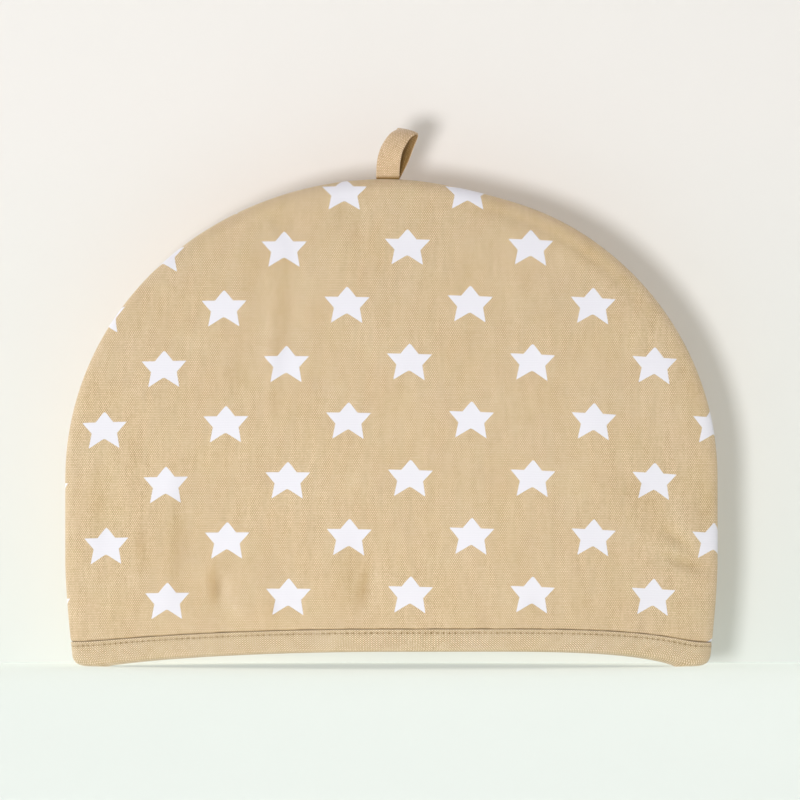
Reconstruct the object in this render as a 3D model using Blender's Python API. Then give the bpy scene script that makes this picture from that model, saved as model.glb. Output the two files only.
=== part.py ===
"""A padded tea cosy that stands on its hem, a little open.

Two quilted panels meet in a seam over the dome. A bias binding is folded round the open hem,
and a hanging loop of the same tape is sewn into the crown.

Units are metres and +Z is up. The front faces -Y, and the origin is on the table under the
middle of the cosy. Sides are numbered -1 (left, front) and +1 (right, back).
"""

import math

import bmesh
import bpy
from mathutils import Vector

# The dome, seen from the front
WIDTH = 0.350
HEIGHT = 0.262  # table to the crown seam
SPRING_HEIGHT = 0.100  # where the straight sides turn into the dome
SAG = 0.0024  # how far the crown sinks to the right of the loop
SAG_X = 0.053  # where it is deepest
SAG_WIDTH = 0.037
FULLNESS = {-1: 2.03, 1: 2.045}  # power of each shoulder's curve; 2 is an ellipse
HEM_TAPER = 0.0045  # how far each side is drawn in at the hem
TAPER_HEIGHT = 0.055
TAPER_POWER = 1.5
HEM_CORNER = 0.0055  # radius of the hem's rounded ends

# The panels
HEM_DEPTH = 0.090  # front to back, across the open hem
THICKNESS = 0.0065  # cloth, wadding and cloth
SEAM_DEPTH = 0.007  # how far the two panels lie face to face along their seam
ROLL_WIDTH = 0.007  # the padded edge turns in to the seam over this width
ROLL_DEPTH = 0.004
SHOULDER = 0.002  # where the rolled edge is widest, from the seam
GROOVE = 0.0006  # depth of the seam's groove
GAP = 0.0003  # left between pieces that touch

# The hem
HEM_LIFT = 0.009  # how far the middle of each hem is off the table
HEM_FOOT = 0.94  # share of half the width beyond which the hem lies flat on the table
ARCH_FULLNESS = {-1: 2.0, 1: 4.5}  # power of each half of the arch: on the right it is fuller
ARCH_POWER = 0.8  # below 1, the arch springs steeply from its feet
ARCH_EASE = 0.16  # how softly it springs at the top of the binding; at the foot it is sharp
LIFT_FADE = 0.150  # height at which the lift has died away
BINDING_HEIGHT = 0.0125
BINDING_CLOTH = 0.0011
TUCK = 0.0015  # depth of the panel's edge behind each face of the binding
PUFF = 0.0008  # the padding swells out over this height above the binding

# The loop
LOOP_MIDDLE = -0.002  # x of its root
TAPE_WIDTH = 0.0125
TAPE_CLOTH = 0.0013
TAPE_ROOT = 0.0033  # how deep its ends are sewn into the crown

# The grid of a panel
SIDE_ROWS = 7
DOME_ROWS = 18
FIELD_COLUMNS = 10
ROLL_COLUMNS = (0.0, 0.0012, 0.006, 0.014, 0.026)  # from the edge, as shares of half the width
BINDING_SHARE = BINDING_CLOTH / THICKNESS
TUCK_SHARE = TUCK / THICKNESS

# The section of the binding: share of the panel's thickness from its outer skin, and height
BINDING_COLUMNS = ("share", "height")
BINDING_SECTION = (
    (0.04, BINDING_HEIGHT),
    (0.00, BINDING_HEIGHT - 0.0004),
    (0.00, 0.0024),
    (0.10, 0.0007),
    (0.32, 0.0),
    (0.68, 0.0),
    (0.90, 0.0007),
    (1.00, 0.0024),
    (1.00, BINDING_HEIGHT - 0.0004),
    (0.96, BINDING_HEIGHT),
    (1 - BINDING_SHARE, BINDING_HEIGHT),
    (1 - BINDING_SHARE, BINDING_CLOTH),
    (BINDING_SHARE, BINDING_CLOTH),
    (BINDING_SHARE, BINDING_HEIGHT),
)

# The middle line of the loop, from its front root over the top to its back root: place from the
# crown in metres, and how the tape's width turns about Z and drops to the right, in degrees
LOOP_COLUMNS = ("x", "y", "z", "turn", "drop")
LOOP_LINE = (
    (0.0000, -0.0009, -TAPE_ROOT, 0, 0),
    (0.0000, -0.0009, 0.0000, 0, 0),
    (0.0001, -0.0014, 0.0020, 0, 0),
    (0.0002, -0.0030, 0.0058, 2, 0),
    (0.0009, -0.0047, 0.0112, 10, 4),
    (0.0027, -0.0052, 0.0168, 20, 10),
    (0.0065, -0.0038, 0.0223, 28, 15),
    (0.0105, 0.0000, 0.0246, 34, 15),
    (0.0099, 0.0038, 0.0213, 36, 12),
    (0.0079, 0.0056, 0.0167, 29, 10),
    (0.0056, 0.0055, 0.0113, 19, 6),
    (0.0028, 0.0039, 0.0059, 8, 2),
    (0.0005, 0.0019, 0.0020, -5, 0),
    (0.0000, 0.0009, 0.0000, 0, 0),
    (0.0000, 0.0009, -TAPE_ROOT, 0, 0),
)
LOOP_STEPS = 3  # stations between two rows of the table

BEIGE = (0.68, 0.52, 0.32)
BINDING_BEIGE = (0.66, 0.50, 0.31)


def blend(a, b, share):
    return a + (b - a) * share


def half_width(z, side, inset=0.0):
    """Half the width at height z, on one side, of the outline drawn in by inset."""
    widest = WIDTH / 2 - inset
    if z <= SPRING_HEIGHT:
        taper = HEM_TAPER * max(0.0, 1 - z / TAPER_HEIGHT) ** TAPER_POWER
        below = max(0.0, HEM_CORNER - z)
        return widest - taper - HEM_CORNER + math.sqrt(HEM_CORNER**2 - below**2)
    power = FULLNESS[side]
    climbed = min(1.0, (z - SPRING_HEIGHT) / (HEIGHT - SPRING_HEIGHT - inset))
    return widest * (1 - climbed**power) ** (1 / power)


def outline_slope(x, z, side):
    """How fast the outline's level rises at a place in the dome, along x and z."""
    power = FULLNESS[side]
    wide, tall = WIDTH / 2, HEIGHT - SPRING_HEIGHT
    climbed = (z - SPRING_HEIGHT) / tall
    return (
        power * (abs(x) / wide) ** (power - 1) / wide,
        power * climbed ** (power - 1) / tall,
    )


def edge_distance(x, z, side):
    """How far a place on the panel is from its outline."""
    if z <= SPRING_HEIGHT:
        return half_width(z, side) - abs(x)
    power = FULLNESS[side]
    climbed = (z - SPRING_HEIGHT) / (HEIGHT - SPRING_HEIGHT)
    level = (abs(x) / (WIDTH / 2)) ** power + climbed**power
    return max(0.0, 1 - level) / max(1e-6, math.hypot(*outline_slope(x, z, side)))


def inward(x, z, side):
    """The direction square to the outline, into the panel."""
    if z <= SPRING_HEIGHT:
        return Vector((-side, 0, 0))
    across, up = outline_slope(x, z, side)
    return Vector((-side * across, 0, -up)).normalized()


def bow(u, z, inset):
    """Share of the full bow: a lens across, which closes towards the crown."""
    return (1 - u * u) * max(0.0, 1 - (z / (HEIGHT - inset)) ** 2)


def lift(u, z):
    """How far the hem's arch raises a place."""
    arch = 1 - (abs(u) / HEM_FOOT) ** ARCH_FULLNESS[-1 if u < 0 else 1]
    arch = (arch + math.hypot(arch, ARCH_EASE * min(1.0, z / BINDING_HEIGHT))) / 2
    return HEM_LIFT * arch**ARCH_POWER * max(0.0, 1 - (z / LIFT_FADE) ** 1.5) ** 2


def sag(x, z):
    """How far the crown has sunk at a place."""
    return SAG * math.exp(-(((x - SAG_X) / SAG_WIDTH) ** 2)) * (z / HEIGHT) ** 6


def outer_skin(u, z, facing):
    """A place on a panel's outer skin; u runs from -1 at the left edge to 1 at the right."""
    side = -1 if u < 0 else 1
    x = u * half_width(z, side)
    turned = 1 - min(1.0, edge_distance(x, z, side) / ROLL_WIDTH)
    roll = ROLL_DEPTH * math.sqrt(1 - turned * turned)
    full_bow = HEM_DEPTH / 2 - SHOULDER - ROLL_DEPTH
    depth = SHOULDER + roll + full_bow * bow(u, z, 0.0)
    return Vector((x, facing * depth, z + lift(u, z) - sag(x, z)))


def inner_skin(u, z, facing):
    """The place on the inner skin behind it."""
    side = -1 if u < 0 else 1
    x = u * half_width(z, side, SEAM_DEPTH)
    full_bow = HEM_DEPTH / 2 - THICKNESS - GAP / 2
    depth = GAP / 2 + full_bow * bow(u, z, SEAM_DEPTH)
    return Vector((x, facing * depth, z + lift(u, z) - sag(x, z)))


def columns():
    """Places across a panel, from -1 to 1, close together where its edge rolls in."""
    half = [1 - share for share in ROLL_COLUMNS]
    half += [HEM_FOOT * (1 - i / FIELD_COLUMNS) for i in range(FIELD_COLUMNS)]
    return [-u for u in half] + [0.0] + half[::-1]


def row_heights(inset):
    """Heights of a panel's rows above the binding, up to the crown."""
    foot = BINDING_HEIGHT + GAP + PUFF
    sides = [blend(foot, SPRING_HEIGHT, (i / SIDE_ROWS) ** 1.5) for i in range(SIDE_ROWS)]
    rise = HEIGHT - SPRING_HEIGHT - inset
    angles = [math.pi / 2 * i / DOME_ROWS for i in range(DOME_ROWS + 1)]
    return sides + [SPRING_HEIGHT + rise * math.sin(angle) for angle in angles]


def seam_lips(row, z, facing, groove):
    """The row, with a point on the seam's plane added at each end."""
    ends = []
    for point, side in ((row[0], -1), (row[-1], 1)):
        lip = point + inward(point.x, z, side) * groove
        lip.y = facing * GAP / 2
        ends.append(lip)
    return [ends[0], *row, ends[1]]


def panel_rows(facing):
    """Rows of points of the outer and inner skin, from the hem to the crown."""
    across = columns()
    clear = Vector((0, 0, GAP))
    outer, inner = [], []
    for z in (BINDING_CLOTH, BINDING_HEIGHT):
        pairs = [(outer_skin(u, z, facing), inner_skin(u, z, facing)) for u in across]
        tucked_out = [a.lerp(b, TUCK_SHARE) + clear for a, b in pairs]
        tucked_in = [a.lerp(b, 1 - TUCK_SHARE) + clear for a, b in pairs]
        outer.append(seam_lips(tucked_out, z, facing, 0.0))
        inner.append(seam_lips(tucked_in, z, facing, 0.0))
    for z_out, z_in in zip(row_heights(0.0), row_heights(SEAM_DEPTH)):
        outer_row = [outer_skin(u, z_out, facing) for u in across]
        inner_row = [inner_skin(u, z_in, facing) for u in across]
        outer.append(seam_lips(outer_row, z_out, facing, GROOVE))
        inner.append(seam_lips(inner_row, z_in, facing, 0.0))
    return outer, inner


def join(bm, first, second):
    """Quads between two rows of vertices."""
    for i in range(len(first) - 1):
        bm.faces.new((first[i], first[i + 1], second[i + 1], second[i]))


def finish(name, bm, material, smooth_angle=40):
    """Makes the object; points that fall together, as at the crown, become one."""
    bmesh.ops.remove_doubles(bm, verts=bm.verts, dist=1e-6)
    bmesh.ops.recalc_face_normals(bm, faces=bm.faces)
    mesh = bpy.data.meshes.new(name)
    bm.to_mesh(mesh)
    bm.free()
    mesh.shade_smooth()
    mesh.set_sharp_from_angle(angle=math.radians(smooth_angle))
    mesh.materials.append(material)
    obj = bpy.data.objects.new(name, mesh)
    bpy.context.collection.objects.link(obj)
    return obj


def cotton(name, colour):
    material = bpy.data.materials.new(name)
    material.use_nodes = True
    shader = material.node_tree.nodes["Principled BSDF"]
    shader.inputs["Base Color"].default_value = (*colour, 1)
    shader.inputs["Roughness"].default_value = 0.9
    shader.inputs["Metallic"].default_value = 0.0
    shader.inputs["Sheen Weight"].default_value = 0.2
    return material


def make_panel(name, facing, material):
    """One padded panel: two skins, joined along the seam and round the hem."""
    bm = bmesh.new()
    skins = [[[bm.verts.new(p) for p in row] for row in rows] for rows in panel_rows(facing)]
    for rows in skins:
        for below, above in zip(rows, rows[1:]):
            join(bm, below, above)
    outer, inner = skins
    join(bm, outer[0], inner[0])
    for end in (0, -1):
        join(bm, [row[end] for row in outer], [row[end] for row in inner])
    return finish(name, bm, material)


def make_binding(name, material):
    """The bias binding: its section carried round the mouth, front and back."""
    bm = bmesh.new()
    stations = [(u, -1) for u in columns()] + [(u, 1) for u in reversed(columns())]
    rings = []
    for u, facing in stations:
        ring = []
        for row in BINDING_SECTION:
            p = dict(zip(BINDING_COLUMNS, row))
            place = outer_skin(u, p["height"], facing).lerp(
                inner_skin(u, p["height"], facing), p["share"]
            )
            ring.append(bm.verts.new(place))
        rings.append(ring)
    for ring, following in zip(rings, rings[1:] + rings[:1]):
        join(bm, [*ring, ring[0]], [*following, following[0]])
    return finish(name, bm, material)


def curve_point(values, place):
    """A smooth curve through a list of values, read at a place counted in rows."""
    i = min(int(place), len(values) - 2)
    t = place - i
    before, a, b, after = (
        values[max(0, min(len(values) - 1, i + k))] for k in (-1, 0, 1, 2)
    )
    return 0.5 * (
        2 * a
        + (b - before) * t
        + (2 * before - 5 * a + 4 * b - after) * t**2
        + (3 * a - before - 3 * b + after) * t**3
    )


def loop_stations():
    """Place, direction along the tape and direction across it, from root to root."""
    table = {name: [row[i] for row in LOOP_LINE] for i, name in enumerate(LOOP_COLUMNS)}
    steps = (len(LOOP_LINE) - 1) * LOOP_STEPS
    places = [i / LOOP_STEPS for i in range(steps + 1)]
    found = {name: [curve_point(v, p) for p in places] for name, v in table.items()}
    middles = [
        Vector((LOOP_MIDDLE + x, y, HEIGHT + z))
        for x, y, z in zip(found["x"], found["y"], found["z"])
    ]
    stations = []
    for i, middle in enumerate(middles):
        along = (middles[min(i + 1, steps)] - middles[max(i - 1, 0)]).normalized()
        turn, drop = math.radians(found["turn"][i]), math.radians(found["drop"][i])
        across = Vector((math.cos(turn), -math.sin(turn), 0)) * math.cos(drop)
        across.z = -math.sin(drop)
        across = (across - along * across.dot(along)).normalized()
        stations.append((middle, along, across))
    return stations


def tape_section():
    """Corners of the tape's section: a flat strip with eased edges."""
    half, thick, ease = TAPE_WIDTH / 2, TAPE_CLOTH / 2, TAPE_CLOTH * 0.3
    return (
        (-half, ease - thick),
        (-half, thick - ease),
        (ease - half, thick),
        (half - ease, thick),
        (half, thick - ease),
        (half, ease - thick),
        (half - ease, -thick),
        (ease - half, -thick),
    )


def make_loop(name, material):
    """The hanging loop: a flat tape swept along its middle line, with closed ends."""
    bm = bmesh.new()
    rings = []
    for middle, along, across in loop_stations():
        out = along.cross(across)
        rings.append([bm.verts.new(middle + across * a + out * b) for a, b in tape_section()])
    for ring, following in zip(rings, rings[1:]):
        join(bm, [*ring, ring[0]], [*following, following[0]])
    bm.faces.new(rings[0])
    bm.faces.new(rings[-1])
    return finish(name, bm, material)


def cut_pocket(panels):
    """Opens the crown seam where the tape's two ends are sewn in."""
    room = 6 * GAP
    size = Vector((TAPE_WIDTH + room, 2 * TAPE_CLOTH + room, 2 * TAPE_ROOT + room))
    bm = bmesh.new()
    bmesh.ops.create_cube(bm, size=1.0)
    bmesh.ops.scale(bm, vec=size, verts=bm.verts)
    mesh = bpy.data.meshes.new("tape_pocket")
    bm.to_mesh(mesh)
    bm.free()
    cutter = bpy.data.objects.new("tape_pocket", mesh)
    bpy.context.collection.objects.link(cutter)
    cutter.location = (LOOP_MIDDLE, 0, HEIGHT)
    cutter.hide_render = True
    cutter.display_type = "WIRE"
    for panel in panels:
        cut = panel.modifiers.new("Tape pocket", "BOOLEAN")
        cut.operation = "DIFFERENCE"
        cut.object = cutter


def main():
    for obj in list(bpy.data.objects):
        bpy.data.objects.remove(obj)
    panels = [
        make_panel("front_panel", -1, cotton("Printed cotton", BEIGE)),
        make_panel("back_panel", 1, cotton("Printed cotton back", BEIGE)),
    ]
    cut_pocket(panels)
    make_binding("hem_binding", cotton("Bias binding", BINDING_BEIGE))
    make_loop("hanging_loop", cotton("Loop tape", BINDING_BEIGE))


main()
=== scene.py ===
"""Tea cosy in star-print cotton.

Run as a script, this file dresses the four solids of the frame: two padded panels, the bias
binding of the hem and the hanging loop. Units are metres, +Z is up and the front faces -Y.
Sides are numbered -1 (left, front) and +1 (right, back).
"""

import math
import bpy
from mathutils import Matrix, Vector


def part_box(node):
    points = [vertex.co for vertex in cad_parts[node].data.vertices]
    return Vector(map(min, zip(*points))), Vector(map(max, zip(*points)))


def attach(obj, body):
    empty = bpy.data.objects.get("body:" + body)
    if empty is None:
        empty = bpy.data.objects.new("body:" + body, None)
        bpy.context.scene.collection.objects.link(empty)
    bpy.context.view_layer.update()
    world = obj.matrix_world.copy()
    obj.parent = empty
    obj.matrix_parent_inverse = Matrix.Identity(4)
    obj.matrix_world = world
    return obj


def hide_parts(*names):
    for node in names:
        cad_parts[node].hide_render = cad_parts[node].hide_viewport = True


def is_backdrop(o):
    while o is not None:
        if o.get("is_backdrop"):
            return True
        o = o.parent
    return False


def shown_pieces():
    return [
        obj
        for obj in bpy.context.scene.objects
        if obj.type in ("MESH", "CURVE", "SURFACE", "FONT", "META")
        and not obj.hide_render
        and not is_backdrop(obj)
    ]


bl_info = {
    "name": "Star-print tea cosy",
    "version": (1, 0, 0),
    "blender": (4, 5, 0),
    "location": "View3D > Sidebar > Tea cosy",
    "description": "Sews a padded tea cosy with a bias-bound hem and a hanging loop",
    "category": "Object",
}

import bmesh
import bpy
import numpy as np
from bpy.props import FloatProperty, FloatVectorProperty, PointerProperty
from bpy.types import Operator, Panel, PropertyGroup
from mathutils import Vector

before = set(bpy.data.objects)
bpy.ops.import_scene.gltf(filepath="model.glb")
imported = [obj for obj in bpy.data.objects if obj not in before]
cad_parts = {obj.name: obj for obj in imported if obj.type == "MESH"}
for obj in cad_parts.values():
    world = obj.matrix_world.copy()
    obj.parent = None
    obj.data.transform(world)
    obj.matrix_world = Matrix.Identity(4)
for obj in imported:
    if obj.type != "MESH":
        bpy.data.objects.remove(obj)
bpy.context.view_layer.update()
PANEL_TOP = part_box("front_panel")[1][2]
HEM_LOW, HEM_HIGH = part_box("hem_binding")
GAP = 0.0003  # left between pieces that touch

# The dome's outline and the section of its padded edge
FULLNESS = {-1: 2.03, 1: 2.045}  # power of each shoulder's curve; 2 is an ellipse
HEM_TAPER = 0.0045  # how far each side is drawn in at the hem
TAPER_HEIGHT = 0.055
TAPER_POWER = 1.5
HEM_CORNER = 0.0055  # radius of the hem's rounded ends
SHOULDER = 0.002  # where the rolled edge is widest, from the seam
HEM_FOOT = 0.94  # share of half the width beyond which the hem lies flat
ARCH_FULLNESS = {-1: 2.0, 1: 4.5}  # power of each half of the arch: on the right it is fuller
ARCH_POWER = 0.8  # below 1, the arch springs steeply from its feet
ARCH_EASE = 0.16  # how softly it springs at the top of the binding; at the foot it is sharp
LIFT_FADE = 0.150  # height at which the lift has died away
LIFT_FADE_POWER = 1.5
SAG = 0.0024  # how far the crown sinks to the right of the loop
SAG_X = 0.053  # where it is deepest
SAG_WIDTH = 0.037
SAG_POWER = 6  # how fast it dies away below the crown
TUCK = 0.0015  # depth of the panel's edge behind each face of the binding
TUCK_ROLL = 0.0016  # the padding swells out over this height above the binding

# Behind its rolled edge a panel turns in to the seam: depth from the seam's plane and distance
# in from the outline, in plain seam and where the loop's tape is sewn in
PLAIN_LIPS = ((0.0011, 0.00012), (GAP / 2, 0.0006), (GAP / 2, 0.0038))
TAPE_LIPS = ((0.0021, 0.0002), (0.0019, 0.0038), (GAP / 2, 0.0038))
TAPE_POCKET = 0.0083  # half the width of the gap for the tape
POCKET_CLOSES = 0.0012

# How the flat cloth differs from what shows of it from the front
BOW_EASE = 0.0235  # share by which the cloth is wider at the hem
CROWN_EASE = 0.0030  # how much longer the cloth is up to the crown
CROWN_POWER = 14  # the longer part is close to the crown
BELOW_CROWN = 0.999  # share of the height: at the crown itself the outline has no width
PRINT_LEAN = 0.0027  # how far the print leans to the left at the crown
LEAN_POWER = 3

# Soft troughs (positive depth) and ridges (negative) of each panel: middle, half length, half
# width and depth in metres, and lean to the left in degrees
FOLD_COLUMNS = ("x", "z", "length", "width", "depth", "lean")
FOLDS = {
    -1: (
        (-0.0582, 0.190, 0.034, 0.0040, 0.0009, -5),
        (-0.0625, 0.145, 0.012, 0.0032, 0.0006, -3),
        (-0.0664, 0.181, 0.022, 0.0031, -0.0006, -1),
        (-0.0478, 0.194, 0.025, 0.0055, -0.0007, -2),
        (-0.0270, 0.245, 0.006, 0.0032, 0.0010, 0),
        (-0.0186, 0.235, 0.009, 0.0026, 0.0008, -4),
        (-0.0152, 0.239, 0.008, 0.0026, -0.0004, 0),
        (-0.0760, 0.212, 0.018, 0.0042, 0.0006, 0),
        (-0.0625, 0.238, 0.010, 0.0032, 0.0007, 28),
        (-0.0810, 0.159, 0.008, 0.0035, 0.0005, 0),
        (-0.1370, 0.114, 0.010, 0.0050, 0.0006, 0),
        (-0.0660, 0.050, 0.022, 0.0050, 0.0004, 0),
        (-0.1135, 0.070, 0.033, 0.0058, 0.0013, -2),
        (-0.1330, 0.059, 0.014, 0.0032, 0.0010, 3),
        (-0.1570, 0.088, 0.024, 0.0045, 0.0008, 0),
        (-0.0945, 0.039, 0.0110, 0.0029, 0.0022, 3),
        (-0.0884, 0.038, 0.010, 0.0028, -0.0010, 0),
        (-0.0830, 0.026, 0.006, 0.0030, -0.0009, 35),
        (-0.0625, 0.026, 0.0045, 0.0022, 0.0009, 0),
        (-0.0148, 0.036, 0.0125, 0.0032, 0.0019, -12),
        (-0.0240, 0.048, 0.014, 0.0070, 0.0011, 0),
        (-0.0094, 0.040, 0.012, 0.0036, -0.0008, -6),
        (0.1549, 0.0757, 0.015, 0.0050, -0.0006, 36),
        (0.1520, 0.0666, 0.011, 0.0034, 0.0010, 54),
        (0.1575, 0.0537, 0.012, 0.0032, 0.0013, 80),
        (0.1280, 0.092, 0.018, 0.0090, 0.0007, 40),
        (0.0935, 0.120, 0.009, 0.0075, 0.0004, 10),
        (0.0750, 0.026, 0.006, 0.0040, 0.0005, 0),
    ),
    1: (
        (0.066, 0.180, 0.026, 0.0080, 0.0008, 5),
        (0.082, 0.174, 0.024, 0.0060, -0.0004, 5),
        (-0.036, 0.058, 0.022, 0.0090, 0.0009, -4),
        (-0.120, 0.090, 0.024, 0.0080, 0.0008, 12),
        (0.118, 0.044, 0.016, 0.0070, 0.0009, 3),
        (0.128, 0.040, 0.013, 0.0050, -0.0005, 3),
        (-0.150, 0.050, 0.014, 0.0060, 0.0008, 30),
        (0.010, 0.130, 0.034, 0.0120, 0.0005, -8),
    ),
}
# Hollows just inside each panel's rolled edge: where they are round the dome, in degrees from
# +X, how far they spread and how deep they are
HOLLOW_COLUMNS = ("angle", "spread", "depth")
HOLLOWS = {
    -1: ((66, 12, 0.0008), (44, 15, 0.0010), (16, 9, 0.0006), (-6, 6, 0.0010)),
    1: ((118, 14, 0.0009), (50, 11, 0.0007), (160, 9, 0.0006)),
}
HOLLOW_INSET = 0.0068  # from the dome's seam to the middle of a hollow
HOLLOW_WIDTH = 0.0048
FOLD_RISE = 0.012  # folds and swells are full this high above the binding
FOLD_INSET = 0.010  # and this far inside the outline
# Waves that add up to small puckers along the seams, and to swells in the wadding
PUCKER_COLUMNS = ("length", "height")
PUCKERS = ((0.0095, 0.00016), (0.0143, 0.00023), (0.0231, 0.00026))
PUCKER_START = 0.4  # from the cosy's middle to where the waves along the hem start
PUCKER_WANDER = 0.9  # how far their spacing wanders, in radians
PUCKER_DRIFT = 5.3  # how slowly it wanders: lengths of the wave for each radian
HEM_PUCKER_FADE = 0.009  # height above the binding over which they fade
SEAM_PUCKER_FADE = 0.007  # and width over which they do inside the dome's seam
SEAM_PUCKERS = 0.6  # height of those along the dome's seam, as a share
SEAM_PUCKER_RISE = 0.020  # height above the binding at which they are full
SEAM_PUCKER_INSET = 0.002  # and the distance inside the outline
DOME_RADIUS = 0.17  # turns an angle round the dome into a distance along its seam
SWELL_COLUMNS = ("along_x", "along_z", "start", "height")
SWELLS = ((13.0, 7.0, 0.4, 0.00024), (-9.0, 16.0, 2.1, 0.00021), (21.0, 11.0, 4.0, 0.00014))

# The right half of a star, clockwise from its tip, and its middle, in metres
STAR = {
    "tip": (0.0, 0.0108),
    "shoulder": (0.0049, 0.0047),
    "arm": (0.0122, 0.0047),
    "waist": (0.0070, -0.0012),
    "foot": (0.0085, -0.0093),
    "crotch": (0.0, -0.0039),
    "middle": (0.0, 0.0),
}
STAR_LEAN = 0.031  # how far each star leans to the right, in radians
STAR_OVERLAP = 0.0008  # of the kites that make it up, on each side
STAR_TIP = 0.0007  # how round the ends of its arms and legs are
STAR_BLUNT = 0.0006  # and its head
STAR_RAGGED = 0.00035  # how far the ink strays at its outline
STAR_GRAIN = 2200.0  # how finely it strays
STAR_EDGE = 0.00012  # half the width over which the ink ends
STAR_PLACING = {
    "Star pitch": "star_pitch",
    "Row pitch": "row_pitch",
    "Star column": "star_x",
    "Star row": "star_z",
    "Droop": "droop",
    "Droop middle": "droop_middle",
}

# The binding. Its section has close rows where it is topstitched, and wider ones below
STITCHED_ROWS = (0.0002, 0.0032, 11)  # first below the round edge, last below the top, count
FACE_ROWS = (0.0040, 0.0096, 7)  # first and last below the top, count
FOLD_POINTS = 7  # round each folded edge of a tape, and across the loop
FOOT_POINTS = 19
FOOT_BEND = 0.0026  # height over which the binding turns under at its foot
FOOT_ROUND = 0.76  # power of the foot's curve: 1 is an ellipse, and below 1 it is squarer
WALL_POINTS = 5  # up each wall of the channel inside it
DRAGS = (31, 53, 74)  # slanting drags of the bias cloth, counted round the mouth
DRAG_HEIGHT = 0.00007
DRAG_RISE = 0.003  # height over which they rise from the foot
HAND_WAVES = ((0.0071, 0.0), (0.0113, 1.9), (0.0197, 4.4), (0.0431, 2.7))  # length and start
HAND_UNEVEN = 0.16  # how much the seam's tightness, and the painted shade along it, varies with each of these waves

# The topstitching: a groove along the row of needle holes, and the thread in it
GROOVE_WIDTH = 0.00055  # half of it, as for a hole
GROOVE_BETWEEN = 0.35  # its depth between two holes, as a share
# painted shade at the needle holes: half the width of its row, and how short it is
HOLE_WIDTH = 0.00050
HOLE_POWER = 4  # how short each hole's painted shade is along the row
STITCH_SPAN = 0.78  # share of a stitch's length that its thread covers
STITCH_SIDES = 6
STITCH_STATIONS = 9
THREAD_END = 0.02  # square of the thread's least radius, as a share
THREAD_SINKS = 0.55  # how far the thread follows the groove
THREAD_RISE = 0.75  # of its radius by which a stitch's middle stands up
THREAD_DIP = 1.5  # and by which its ends are lower than its middle
THREAD_PLY = 0.0007  # length of a ply's turn along the thread
THREAD_ROUND = 0.00066  # and round it: half of its girth, because it has two plies

# The middle line of the loop, from its front root over the top to its back root: place from the
# crown in metres, and how the tape's width turns about Z and drops to the right, in degrees
LOOP_LINE = (
    (0.0000, -0.0009, -0.0033, 0, 0),
    (0.0000, -0.0009, 0.0000, 0, 0),
    (0.0001, -0.0014, 0.0020, 0, 0),
    (0.0002, -0.0030, 0.0058, 2, 0),
    (0.0009, -0.0047, 0.0112, 10, 4),
    (0.0027, -0.0052, 0.0168, 20, 10),
    (0.0065, -0.0038, 0.0227, 28, 12),
    (0.0105, 0.0000, 0.0252, 34, 12),
    (0.0099, 0.0038, 0.0217, 36, 11),
    (0.0079, 0.0056, 0.0167, 29, 10),
    (0.0056, 0.0055, 0.0113, 19, 6),
    (0.0028, 0.0039, 0.0059, 8, 2),
    (0.0005, 0.0019, 0.0020, -5, 0),
    (0.0000, 0.0009, 0.0000, 0, 0),
    (0.0000, 0.0009, -0.0033, 0, 0),
)
LOOP_MIDDLE = -0.002  # x of the loop's root
LOOP_STEPS = 8  # stations between two rows of the table
LOOP_BULGE = 0.0013  # how far the tape's middle stands out beyond its left edge
LOOP_BULGE_OUT = 0.45  # share of it by which the middle is out of the tape's plane
LOOP_BULGE_POWER = 2.5  # how square the bulge is
LOOP_BULGE_HIGH = 0.016  # height above the crown at which it is full
TAPE_SPRING = 1.04  # how much the tape's two layers stand apart in its middle

# Painted shade, where no light reaches between two pieces: how far the dark runs out over the cloth
HEM_SHADE = 0.00045
HEM_PAINTED_SHADE = 0.54  # of the painted shade of a seam, painted along the top of the binding
PAINTED_FOLD_SHADE = 135.0  # painted shade in folds and hollows, and painted light on ridges, for each metre of their depth
PAINTED_FOLD_SHADE_RISE = 0.006  # it is full this high above the binding
PAINTED_HOLE_SHADE = 1.0  # of the painted shade of a seam, painted at each needle hole
TAPE_SHADE = 0.0030  # depth of the painted shade where the loop is sewn in
TAPE_SHADE_FADE = 0.001
# height above the crown over which the painted shade at the loop's root fades
LOOP_SHADE = 0.0016
LOOP_INSIDE_SHADE = 0.95  # of the painted shade of a seam, painted on the tape's inner side, inside the loop
PAINTED_SHADE_DARK = 0.62  # share of light that the painted shade takes from the colour at its darkest
PAINTED_SHADE_WARMTH = 0.48  # how much more colour the cloth has in the painted shade
INSIDE_SHADE_START = 0.5  # how deep in the binding's cloth the painted shade of its inside starts, as a share of it
INSIDE_SHADE_FADE = 1 / 3  # and over how much more of it that grows full

# How each cloth is woven: how uneven its threads' tones are, and the painted light and shade of
# its threads: how much lighter the weft is where it is on top, and how much darker the gaps are
WEAVE_COLUMNS = ("Unevenness", "Over and under light", "Gap shade")
PANEL_WEAVE = (0.40, 0.35, 0.0)
TAPE_WEAVE = (0.34, 0.20, 0.75)
LOOP_WEAVE = (0.24, 0.12, 0.40)
BIAS = math.pi / 4
BIAS_STRETCH = (0.89, 1.10)  # of the tape's cloth: sewn on, it is longer and narrower
STRAY = (1.4, 0.9, 0.0)  # how far warp and weft threads stray, in pitches
STRAY_GRAIN = 190.0  # how soon they stray
STRAY_LONG = 0.2  # as a share of that, along a thread
WARP_TONE = (0.31, 0.45)  # seed of its threads' tones, and how far two neighbours differ
WEFT_TONE = (7.57, 0.73)
TONE_CHANGES = 0.07  # how soon a thread's tone changes along it
WEFT_EVENER = 0.45  # share of its threads' unevenness that the weft shows
SPECKLE = 0.14  # of the tones where threads cross
STREAKS = 0.10  # of the tones of neighbouring warp threads together
STREAK_GRAIN = 130.0
STREAK_LONG = 0.12
PATCHES = 0.04  # of the tones of larger patches of cloth
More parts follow.
